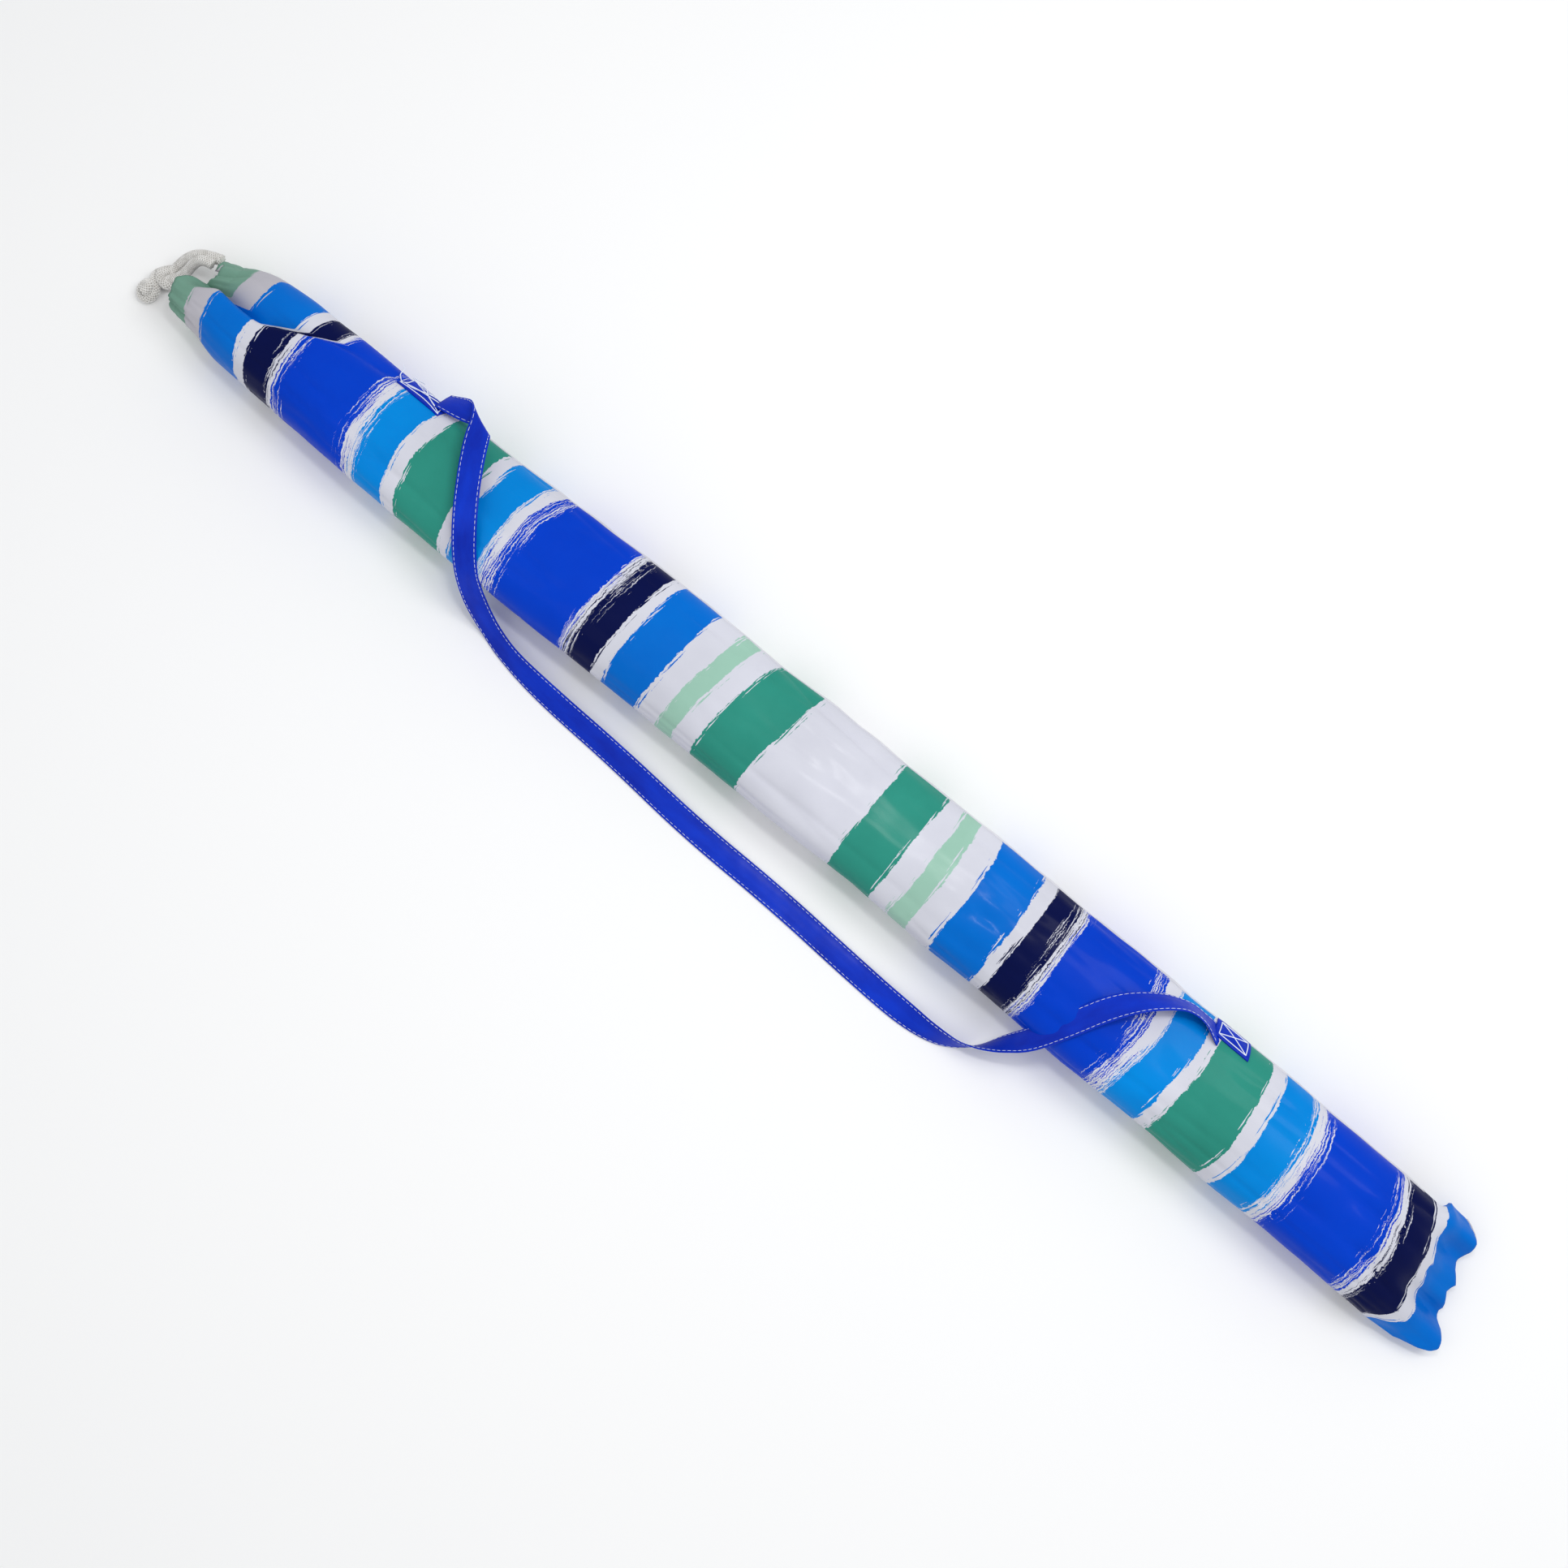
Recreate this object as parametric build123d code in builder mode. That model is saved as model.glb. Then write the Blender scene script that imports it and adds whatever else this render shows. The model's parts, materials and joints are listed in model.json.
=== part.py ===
from build123d import *
import math
import os

# Beach umbrella packed in its carry bag, in millimetres. The bag lies along X on the floor, z = 0,
# with its drawstring mouth at -X, its sewn end at +X and its shoulder strap on the -Y side.
# The folded umbrella and the lower half of its pole lie side by side in the bag.

# ---- umbrella
pole_radius = 9.5
pole_wall = 1.0
rib_count = 8
rib_length = 960.0
rib_radius = 1.8
stretcher_radius = 1.2
joint_on_rib = 400.0           # from the rib's eye to its stretcher
wire_radius = 0.6
crown_to_rib_end = 2.0         # each rib runs on past its eye
tilt_above_rib_tips = 84.0
runner_above_tilt = 94.0       # where the folded runner's eyes stand
latch_below_crown = 246.0
shaft_past_rib_tips = 108.0
canopy_gap = 0.4               # canopy to the rib clips
canopy_hem = 8.0               # canopy past the rib tips
canopy_folds = (1.8, 2.7, 5.2, 7.4, 6.8, 4.9, 2.9)   # thickness of the rolled folds, hem to top
tie_width = 24.0
tie_thickness = 0.9

# ---- lower pole
lower_radius = 11.0
lower_wall = 1.1
lower_slope = -0.0125          # how far the pole strays to -Y for each unit of X
spike_length = 104.0
sleeve_length = 42.0
sleeve_wall = 2.5

# ---- bag
mouth_length = 100.0           # the gathered neck
bag_past_shaft = 115.0         # from the shaft's free end to the mouth's rim
bag_past_crown = 99.0          # from the rib eyes to the sewn end
bag_past_spike = 75.8
cloth = 1.5                    # wall of the bag, one layer and its folds
headroom = 11.0                # of the bag's half-height past the rolled canopy
floor_flat = 2.0               # how much of the oval the floor cuts off
umbrella_below_axis = 4.5
slack_front = 7.0              # of the bag's half-width past the rolled canopy, beside the mouth
slack_middle = 9.0
slack_rear = 10.5
middle_x = -200.0
widest_x = 250.0
end_taper_length = 80.0        # the stretch that flattens to the sewn end
end_half_width = 48.0
end_half_height = 7.0
end_height_axis = 16.0
mouth_half_width = 30.0
mouth_half_height = 28.0
mouth_y = -6.0
mouth_z = 30.0

# ---- shoulder strap and drawstring
strap_cord_radius = 3.0        # the strap's plain stand-in
strap_patch_thickness = 1.5
strap_patch_low_y = 31.0
strap_patch_high_y = 46.0
front_patch_x = (-438.0, -394.0)
rear_patch_x = (372.0, 404.0)
rope_radius = 4.5
knot_radius = 7.6
knot_half_length = 10.0
nub_half_length = 10.5

# ---- fits
sliding = 0.1                  # radial, tube in sleeve
running = 0.05                 # radial, pins and buttons
seat = 0.02                    # radial, a piece pushed onto its tube
eye_gap = 0.4                  # stretcher to rib

# ---- what follows from them
stretcher_circle = pole_radius + 1.5
rib_circle = stretcher_circle + stretcher_radius + eye_gap + rib_radius
clip_radius = rib_radius + 1.0
tilt_radius = pole_radius + 2.1
canopy_bore = rib_circle + clip_radius + canopy_gap
canopy_radii = [canopy_bore + fold for fold in canopy_folds]
umbrella_y = max(canopy_radii) - 10.0
bag_half_height = max(canopy_radii) + headroom
bag_height_axis = bag_half_height - floor_flat
umbrella_z = bag_height_axis - umbrella_below_axis
umbrella_edge = umbrella_y + max(canopy_radii)
bag_half_width_front = umbrella_edge + slack_front
bag_half_width_middle = umbrella_edge + slack_middle
bag_half_width_rear = umbrella_edge + slack_rear
sleeve_radius = lower_radius + sleeve_wall
lower_pole_radius_inside = lower_radius - lower_wall

bag_length = bag_past_crown + rib_length - crown_to_rib_end + shaft_past_rib_tips + bag_past_shaft
bag_front = -bag_length / 2
bag_rear = bag_length / 2
junction_x = bag_front + mouth_length
taper_x = bag_rear - end_taper_length
crown_x = bag_rear - bag_past_crown
rib_tip_x = crown_x + crown_to_rib_end - rib_length
shaft_end_x = rib_tip_x - shaft_past_rib_tips
tilt_x = rib_tip_x + tilt_above_rib_tips
joint_x = crown_x - joint_on_rib
runner_x = tilt_x + runner_above_tilt
stretcher_length = joint_x - runner_x
lower_start = (shaft_end_x, -(lower_radius + 4.0), mouth_z)
lower_tube_length = bag_rear - bag_past_spike - spike_length - shaft_end_x - 0.2

os.makedirs("parts", exist_ok=True)


def finish(piece, name):
    """Label a piece and write its file."""
    piece.label = name
    export_step(piece, f"parts/{name}.step")


def across(x):
    """The plane square to the umbrella's axis at x, with its first direction along +Y."""
    return Plane(origin=(x, umbrella_y, umbrella_z), x_dir=(0, 1, 0), z_dir=(1, 0, 0))


def tube(plane, start, end, outer, inner):
    """A round tube along a plane's normal, from start to end."""
    with BuildPart() as piece:
        with BuildSketch(plane.offset(start)):
            Circle(outer)
            if inner > 0:
                Circle(inner, mode=Mode.SUBTRACT)
        extrude(amount=end - start)
    return piece.part


def oval_loft(sections, grow, floor):
    """A loft through upright ovals, each (x, y, z, half width, half height), cut off flat at the floor."""
    with BuildPart() as piece:
        for x, y, z, half_width, half_height in sections:
            with BuildSketch(Plane(origin=(x, y, z), x_dir=(0, 1, 0), z_dir=(1, 0, 0))):
                Ellipse(half_width + grow, half_height + grow)
        loft(ruled=True)
        split(bisect_by=Plane.XY.offset(floor), keep=Keep.TOP)
    return piece.part


def rope_path(points, share=0.45):
    """Straight runs through the points, joined by tangent arcs as large as the shorter run allows."""
    corners = [Vector(*p) for p in points]
    radii = []
    for before, here, after in zip(corners, corners[1:], corners[2:]):
        turn = math.radians((here - before).get_angle(after - here))
        run = min((here - before).length, (after - here).length)
        radii.append(share * run / math.tan(turn / 2))
    return corners, radii


def round_cord(points, radius, name):
    """A plain round cord along the points, with its smallest arc and its volume reported."""
    corners, radii = rope_path(points)
    with BuildPart() as piece:
        with BuildLine() as route:
            FilletPolyline(*corners, radius=radii)
        start = Plane(origin=corners[0], z_dir=corners[1] - corners[0])
        with BuildSketch(start):
            Circle(radius)
        sweep(path=route.wires()[0])
    length = route.wires()[0].length
    share = piece.part.volume / (math.pi * radius ** 2 * length)
    print(f"{name}: length {length:.0f}, radii {[round(r) for r in radii]}, volume share {share:.3f}")
    return piece.part


# ================================================================ bag
body_sections = [
    (junction_x, 0, bag_height_axis, bag_half_width_front, bag_half_height),
    (middle_x, 0, bag_height_axis, bag_half_width_middle, bag_half_height),
    (widest_x, 0, bag_height_axis, bag_half_width_rear, bag_half_height),
    (taper_x, 0, bag_height_axis, bag_half_width_rear, bag_half_height),
    (bag_rear - end_taper_length / 2, 0, (bag_height_axis + end_height_axis) / 2 + 2,
     bag_half_width_rear, bag_half_height - 11),
]
outer_end = (bag_rear, 0, end_height_axis, end_half_width, end_half_height)
inner_end = (bag_rear - 2 * cloth, 0, end_height_axis, end_half_width, end_half_height)
body_outside = oval_loft(body_sections + [outer_end], 0, 0)
body_inside = oval_loft(body_sections + [inner_end], -cloth, cloth)

with BuildPart() as bag_body:
    add(body_outside)
    add(body_inside, mode=Mode.SUBTRACT)
finish(bag_body.part, "bag_body")

mouth_sections = [
    (bag_front, mouth_y, mouth_z, mouth_half_width, mouth_half_height),
    (junction_x, 0, bag_height_axis, bag_half_width_front, bag_half_height),
]
mouth_outside = oval_loft(mouth_sections, 0, 0)
mouth_inside = oval_loft(mouth_sections, -cloth, cloth)
with BuildPart() as bag_mouth:
    add(mouth_outside)
    add(mouth_inside, mode=Mode.SUBTRACT)
finish(bag_mouth.part, "bag_mouth")

# the strap's two sewn ends lie on the bag's upper side
patch_skin = oval_loft(body_sections + [outer_end], strap_patch_thickness, 0)
for name, (low_x, high_x) in (("strap_end_front", front_patch_x), ("strap_end_rear", rear_patch_x)):
    with BuildPart() as strap_end:
        add(patch_skin)
        add(body_outside, mode=Mode.SUBTRACT)
        with BuildSketch(Plane.XY.offset(bag_height_axis)):
            with Locations(((low_x + high_x) / 2, (strap_patch_low_y + strap_patch_high_y) / 2)):
                Rectangle(high_x - low_x, strap_patch_high_y - strap_patch_low_y)
        extrude(amount=2 * bag_half_height, mode=Mode.INTERSECT)
    finish(strap_end.part, name)

# from the front end over the bag, down to the floor, along it and back over the bag
strap_route = [
    (-402, 44, 54.5), (-376, 40, 64), (-352, 22, 74), (-331, -3, 78), (-313, -29, 73), (-297, -50, 55),
    (-283, -61, 29), (-264, -70, 9), (-236, -78, 3.2), (-190, -82, 3.2), (-120, -86, 3.2),
    (-35, -92, 3.2), (50, -95, 3.2), (125, -99, 3.2), (180, -102, 3.3), (216, -97, 5), (240, -84, 12),
    (257, -67, 26), (270, -57, 46), (284, -38, 67), (299, -14, 79), (317, 12, 81), (338, 33, 76),
    (360, 42, 67), (377, 43, 59.5),
]
shoulder_strap = round_cord(strap_route, strap_cord_radius, "shoulder_strap")
finish(shoulder_strap, "shoulder_strap")

# the drawstring leaves the mouth's +Y side and drops to its knot on the floor
rope_route = [(-624, 21, 30), (-640, 16, 28), (-651, 9, 20), (-658, 0, 11), (-660, -12, 7.7)]
drawstring_rope = round_cord(rope_route, rope_radius, "drawstring_rope")
finish(drawstring_rope, "drawstring_rope")


def lump(x, y, half_length, heading):
    """A spindle-shaped lump of knotted rope on the floor, longest along its heading in degrees."""
    middle = Plane(origin=(x, y, knot_radius), x_dir=(math.cos(heading), math.sin(heading), 0), z_dir=(0, 0, 1))
    with BuildPart() as piece:
        with BuildSketch(middle):
            Ellipse(half_length, knot_radius)
            with Locations((0, -knot_radius)):
                Rectangle(3 * half_length, 2 * knot_radius, mode=Mode.SUBTRACT)
        revolve(axis=Axis(middle.origin, middle.x_dir))
    return piece.part


knot_lump = lump(-659, -16, knot_half_length, math.radians(-75))
end_lump = lump(-664, -31, nub_half_length, math.radians(-120))
with BuildPart() as rope_knot:
    add(knot_lump)
    add(end_lump)
finish(rope_knot.part, "rope_knot")

# ================================================================ umbrella: pole and tilt joint
tilt_half_tongue = 5.0
tilt_pin_radius = 2.5
tilt_reach = tilt_radius + 0.4   # from the pin to the end of its tongue
tilt_socket = 20.0
fork_x = tilt_x + tilt_reach   # where the fork's cheeks start
tongue_x = tilt_x - tilt_reach
button_x = tongue_x - 9.0
shaft_stop_x = tongue_x - 18.0
button_radius = 3.2
button_top = tilt_radius + 2.6
button_foot = 4.0
button_travel = 2.0
spring_foot = -6.0
latch_x = crown_x - latch_below_crown
latch_length = 14.0
latch_width = 3.0
latch_travel = 2.4
latch_top = pole_radius + 2.6

with BuildPart() as upper_pole:
    add(tube(across(0), fork_x + 1.0, crown_x - 6.0, pole_radius, pole_radius - pole_wall))
    with BuildSketch(Plane.XY.offset(umbrella_z)):
        with Locations((latch_x, umbrella_y)):
            Rectangle(latch_length + 4 * running, latch_width + 4 * running)
    extrude(amount=2 * pole_radius, mode=Mode.SUBTRACT)
finish(upper_pole.part, "upper_pole")

# the sprung catch that holds the runner up, a wedge rising from the pole
with BuildPart() as runner_latch:
    with BuildSketch(Plane(origin=(0, umbrella_y - latch_width / 2, umbrella_z), z_dir=(0, 1, 0),
                           x_dir=(1, 0, 0))) as wedge:
        with BuildLine():
            Polyline(
                (latch_x - latch_length / 2, -(pole_radius - 4.5)),
                (latch_x + latch_length / 2, -(pole_radius - 4.5)),
                (latch_x + latch_length / 2, -latch_top),
                (latch_x + latch_length / 2 - 3, -latch_top),
                (latch_x - latch_length / 2, -(pole_radius + 0.3)),
                close=True,
            )
        make_face()
    extrude(amount=latch_width)
finish(runner_latch.part, "runner_latch")

with BuildPart() as tilt_fork:
    add(tube(across(0), fork_x, fork_x + tilt_socket, tilt_radius, pole_radius + seat))
    add(tube(across(0), tongue_x + 1.0, fork_x + 1.0, tilt_radius, 0))
    with BuildSketch(Plane.XY.offset(umbrella_z - tilt_radius)):
        with Locations((tilt_x - 0.2, umbrella_y)):
            Rectangle(2 * tilt_reach + 0.4, 2 * (tilt_half_tongue + sliding))
    extrude(amount=2 * tilt_radius, mode=Mode.SUBTRACT)
    with Locations(Location((tilt_x, umbrella_y, umbrella_z), (90, 0, 0))):
        Cylinder(tilt_pin_radius + running, 4 * tilt_radius, mode=Mode.SUBTRACT)
finish(tilt_fork.part, "tilt_fork")

with BuildPart() as tilt_tongue:
    with BuildSketch(Plane.XZ.offset(-umbrella_y - tilt_half_tongue)):
        with Locations((tilt_x, umbrella_z)):
            Circle(tilt_radius - 0.8)
        with Locations((tilt_x - tilt_reach, umbrella_z)):
            Rectangle(2 * tilt_reach, 2 * (tilt_radius - 0.8))
    extrude(amount=2 * tilt_half_tongue)
    add(tube(across(0), shaft_stop_x - tilt_socket, tongue_x + 0.5, tilt_radius, 0))
    add(tube(across(0), shaft_stop_x - tilt_socket, shaft_stop_x, pole_radius + seat, 0), mode=Mode.SUBTRACT)
    with Locations(Location((tilt_x, umbrella_y, umbrella_z), (90, 0, 0))):
        Cylinder(tilt_pin_radius + running, 4 * tilt_radius, mode=Mode.SUBTRACT)
    with BuildSketch(Plane.XY.offset(umbrella_z + spring_foot)):
        with Locations((button_x, umbrella_y)):
            Circle(button_radius + running)
    extrude(amount=3 * tilt_radius, mode=Mode.SUBTRACT)
finish(tilt_tongue.part, "tilt_tongue")

with BuildPart() as tilt_pin:
    with Locations(Location((tilt_x, umbrella_y, umbrella_z), (90, 0, 0))):
        Cylinder(tilt_pin_radius, 2 * tilt_radius - 3)
finish(tilt_pin.part, "tilt_pin")

with BuildPart() as tilt_button:
    with BuildSketch(Plane.XY.offset(umbrella_z + button_foot)):
        with Locations((button_x, umbrella_y)):
            Circle(button_radius)
    extrude(amount=button_top - button_foot)
    chamfer(tilt_button.edges().sort_by(Axis.Z)[-1], 0.6)
finish(tilt_button.part, "tilt_button")

# a coil spring of even turns under the button
spring_wire = 0.4
with BuildPart() as tilt_spring:
    with BuildLine() as coil:
        Helix(pitch=2.0, height=button_foot - spring_foot - 2 * spring_wire - 0.2, radius=button_radius - 0.9,
              center=(button_x, umbrella_y, umbrella_z + spring_foot + spring_wire + 0.1))
    with BuildSketch(Plane(origin=coil.edges()[0] @ 0, z_dir=coil.edges()[0] % 0)):
        Circle(spring_wire)
    sweep(path=coil.wires()[0], is_frenet=True)
finish(tilt_spring.part, "tilt_spring")

shaft = tube(across(0), shaft_end_x, shaft_stop_x, pole_radius, pole_radius - pole_wall)
finish(shaft, "shaft")
with BuildPart() as shaft_plug:
    add(tube(across(0), shaft_end_x - 3.0, shaft_end_x, pole_radius, 0))
    add(tube(across(0), shaft_end_x, shaft_end_x + 14.0, pole_radius - pole_wall - seat, 0))
    fillet(shaft_plug.edges().sort_by(Axis.X)[0], 1.5)
finish(shaft_plug.part, "shaft_plug")

# ================================================================ umbrella: crown, ribs, runner
first_rib_angle = 180.0 / rib_count
crown_sleeve_start = crown_x - 40.0
crown_flange_start = crown_x - 9.0
crown_flange_end = crown_x + 11.0
crown_radius = rib_circle + rib_radius + 0.6
rib_slot = 2 * rib_radius + 0.6
finial_screw_radius = 5.0
canopy_end_x = crown_flange_end + 1.0
canopy_end_wall = 3.0


def wire_ring(x, circle, radius):
    """A ring of round wire square to the umbrella's axis."""
    with BuildPart() as piece:
        with BuildSketch(Plane(origin=(x, umbrella_y, umbrella_z), x_dir=(0, 1, 0), z_dir=(0, 0, 1))):
            with Locations((circle, 0)):
                Circle(radius)
        revolve(axis=Axis((x, umbrella_y, umbrella_z), (1, 0, 0)))
    return piece.part


crown_wire = wire_ring(crown_x, rib_circle, wire_radius)
crown_wire_hole = wire_ring(crown_x, rib_circle, wire_radius + running)
finish(crown_wire, "crown_wire")

with BuildPart() as crown:
    add(tube(across(0), crown_sleeve_start, crown_flange_start, pole_radius + 2.2, 0))
    add(tube(across(0), crown_flange_start, crown_flange_end, crown_radius, 0))
    add(tube(across(0), crown_sleeve_start, crown_x - 6.0, pole_radius + seat, 0), mode=Mode.SUBTRACT)
    add(tube(across(0), crown_x - 6.0, crown_flange_end, finial_screw_radius + seat, 0), mode=Mode.SUBTRACT)
    with BuildSketch(across(crown_flange_start)):
        with PolarLocations(rib_circle + 1.0, rib_count, first_rib_angle):
            Rectangle(2 * rib_radius + 3.0, rib_slot)
    extrude(amount=crown_x + 3.5 - crown_flange_start, mode=Mode.SUBTRACT)
    add(crown_wire_hole, mode=Mode.SUBTRACT)
finish(crown.part, "crown")

with BuildPart() as finial:
    with BuildSketch(Plane(origin=(0, umbrella_y, umbrella_z), x_dir=(1, 0, 0), z_dir=(0, 0, 1))):
        with BuildLine():
            base = canopy_end_x + canopy_end_wall
            Polyline((crown_x - 2, 0), (crown_x - 2, finial_screw_radius), (base + 0.2, finial_screw_radius),
                     (base + 0.2, 12.0), (base + 3.0, 12.0))
            Spline((base + 3.0, 12.0), (base + 8.0, 6.5), (base + 14.0, 6.0), (base + 21.0, 0),
                   tangents=[(0.3, -1), (0, -1)])
            Line((base + 21.0, 0), (crown_x - 2, 0))
        make_face()
    revolve(axis=Axis((0, umbrella_y, umbrella_z), (1, 0, 0)))
finish(finial.part, "finial")

tip_cap_length = 13.0
for index in range(rib_count):
    angle = math.radians(first_rib_angle + index * 360 / rib_count)
    with BuildPart() as rib:
        with BuildSketch(across(rib_tip_x)):
            with Locations((rib_circle * math.cos(angle), rib_circle * math.sin(angle))):
                Circle(rib_radius)
        extrude(amount=rib_length)
        add(crown_wire_hole, mode=Mode.SUBTRACT)
    finish(rib.part, f"rib_{index + 1}")

with BuildPart() as rib_tip_caps:
    with BuildSketch(across(rib_tip_x - 3.0)):
        with PolarLocations(rib_circle, rib_count, first_rib_angle):
            Circle(clip_radius)
    extrude(amount=tip_cap_length)
    with BuildSketch(across(rib_tip_x - 0.1)):
        with PolarLocations(rib_circle, rib_count, first_rib_angle):
            Circle(rib_radius + seat)
    extrude(amount=tip_cap_length, mode=Mode.SUBTRACT)
finish(rib_tip_caps.part, "rib_tip_caps")

# pressed clips that carry the stretchers' upper ends
with BuildPart() as rib_joint_clips:
    with BuildSketch(across(joint_x - 5.0)):
        with PolarLocations(rib_circle, rib_count, first_rib_angle):
            Circle(clip_radius)
        with PolarLocations((stretcher_circle + rib_circle) / 2 - 0.6, rib_count, first_rib_angle):
            Rectangle(rib_circle - stretcher_circle + 0.8, 2 * stretcher_radius + 2.0)
        with PolarLocations(rib_circle, rib_count, first_rib_angle):
            Circle(rib_radius + seat, mode=Mode.SUBTRACT)
        with PolarLocations(stretcher_circle - 0.6, rib_count, first_rib_angle):
            Rectangle(2 * stretcher_radius + 1.6, 2 * (stretcher_radius + running), mode=Mode.SUBTRACT)
    extrude(amount=10.0)
finish(rib_joint_clips.part, "rib_joint_clips")

runner_wire = wire_ring(runner_x + 3.0, stretcher_circle, wire_radius)
runner_wire_hole = wire_ring(runner_x + 3.0, stretcher_circle, wire_radius + running)
finish(runner_wire, "runner_wire")
for index in range(rib_count):
    angle = math.radians(first_rib_angle + index * 360 / rib_count)
    with BuildPart() as stretcher:
        with BuildSketch(across(runner_x)):
            with Locations((stretcher_circle * math.cos(angle), stretcher_circle * math.sin(angle))):
                Circle(stretcher_radius)
        extrude(amount=stretcher_length)
        add(runner_wire_hole, mode=Mode.SUBTRACT)
    finish(stretcher.part, f"stretcher_{index + 1}")

runner_radius = rib_circle - rib_radius - 0.5
with BuildPart() as runner:
    add(tube(across(0), runner_x - 42.0, runner_x + 7.0, runner_radius, pole_radius + sliding))
    with BuildSketch(across(runner_x - 1.0)):
        with PolarLocations(stretcher_circle + 0.5, rib_count, first_rib_angle):
            Rectangle(2 * stretcher_radius + 2.0, 2 * stretcher_radius + 0.5)
    extrude(amount=9.0, mode=Mode.SUBTRACT)
    add(runner_wire_hole, mode=Mode.SUBTRACT)
finish(runner.part, "runner")

# ================================================================ umbrella: folded canopy and its tie
canopy_start_x = rib_tip_x - canopy_hem
canopy_length = canopy_end_x - canopy_start_x
with BuildPart() as canopy:
    with BuildSketch(Plane(origin=(0, umbrella_y, umbrella_z), x_dir=(1, 0, 0), z_dir=(0, 0, 1))):
        with BuildLine():
            steps = len(canopy_radii) - 1
            outline = [(canopy_start_x + canopy_length * n / steps, r) for n, r in enumerate(canopy_radii)]
            top_x = canopy_end_x + canopy_end_wall
            Spline(*outline)
            Polyline(
                outline[-1], (top_x, 14.0), (top_x, finial_screw_radius + 0.2),
                (canopy_end_x, finial_screw_radius + 0.2), (canopy_end_x, canopy_bore),
                (canopy_start_x, canopy_bore), outline[0],
            )
        make_face()
    revolve(axis=Axis((0, umbrella_y, umbrella_z), (1, 0, 0)))
finish(canopy.part, "canopy")

tie_x = canopy_start_x + canopy_length / (len(canopy_radii) - 1) - 20.0
tie_body = tube(across(0), tie_x - tie_width / 2, tie_x + tie_width / 2, canopy_radii[1] + tie_thickness, 0)
with BuildPart() as canopy_tie:
    add(tie_body)
    add(canopy.part, mode=Mode.SUBTRACT)
    add(tube(across(0), tie_x - tie_width, tie_x + tie_width, canopy_radii[1] - 0.5, 0), mode=Mode.SUBTRACT)
finish(canopy_tie.part, "canopy_tie")

# ================================================================ lower pole
lower_plane = Plane(
    origin=lower_start, x_dir=(-lower_slope, 1, 0), z_dir=(1, lower_slope, 0)
)
lower_pole_start = 2.0
screw_at = sleeve_length / 2
screw_radius = 2.5
boss_radius = 5.0
boss_top = sleeve_radius + 3.5
grip_radius = 8.0
grip_height = 5.5
screw_plane = Plane(
    origin=lower_plane.origin + lower_plane.z_dir * screw_at, x_dir=(1, lower_slope, 0), z_dir=(0, 0, 1)
)

with BuildPart() as lower_pole:
    add(tube(lower_plane, lower_pole_start, lower_tube_length, lower_radius, lower_pole_radius_inside))
    with BuildSketch(screw_plane):
        Circle(screw_radius + running)
    extrude(amount=2 * lower_radius, mode=Mode.SUBTRACT)
finish(lower_pole.part, "lower_pole")

with BuildPart() as clamp_sleeve:
    add(tube(lower_plane, 0, sleeve_length, sleeve_radius, 0))
    with BuildSketch(screw_plane):
        Circle(boss_radius)
    extrude(amount=boss_top)
    add(tube(lower_plane, 0, lower_pole_start, pole_radius + sliding, 0), mode=Mode.SUBTRACT)
    add(tube(lower_plane, lower_pole_start, sleeve_length, lower_radius + seat, 0), mode=Mode.SUBTRACT)
    with BuildSketch(screw_plane):
        Circle(screw_radius + running)
    extrude(amount=3 * sleeve_radius, mode=Mode.SUBTRACT)
finish(clamp_sleeve.part, "clamp_sleeve")

with BuildPart() as thumb_screw:
    with BuildSketch(screw_plane.offset(lower_pole_radius_inside + 0.3)):
        Circle(screw_radius)
    extrude(amount=boss_top + 0.5 - lower_pole_radius_inside)
    with BuildSketch(screw_plane.offset(boss_top + 0.5)):
        Circle(grip_radius * 0.55)
        SlotOverall(2 * grip_radius, 5.0)
    extrude(amount=grip_height)
    fillet(thumb_screw.faces().sort_by(Axis.Z)[-1].edges(), 1.0)
finish(thumb_screw.part, "thumb_screw")

with BuildPart() as ground_spike:
    spike_start = lower_tube_length + 0.2
    add(tube(lower_plane, spike_start - 24.0, spike_start, lower_pole_radius_inside - seat, 0))
    add(tube(lower_plane, spike_start, spike_start + 8.0, lower_radius, 0))
    with BuildSketch(lower_plane.offset(spike_start + 8.0)):
        Circle(lower_radius - 1.0)
    with BuildSketch(lower_plane.offset(spike_start + spike_length - 4.0)):
        Circle(2.5)
    loft()
    add(tube(lower_plane, spike_start + spike_length - 4.0, spike_start + spike_length, 2.5, 0))
    fillet(ground_spike.edges().sort_by(Axis.X)[-1], 2.0)
finish(ground_spike.part, "ground_spike")
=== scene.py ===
"""Looks of a beach umbrella packed in its striped carry bag, built around the CAD frame.

Lengths are metres in the frame of the CAD parts. The bag lies along X on the floor, with its
drawstring mouth at -X, its sewn end at +X and its shoulder strap on the -Y side.
"""

import json
import logging
import math
from dataclasses import dataclass, field
from enum import Enum
from typing import Callable, Sequence

import bpy
import numpy as np
from mathutils import Matrix, Vector, noise


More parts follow.
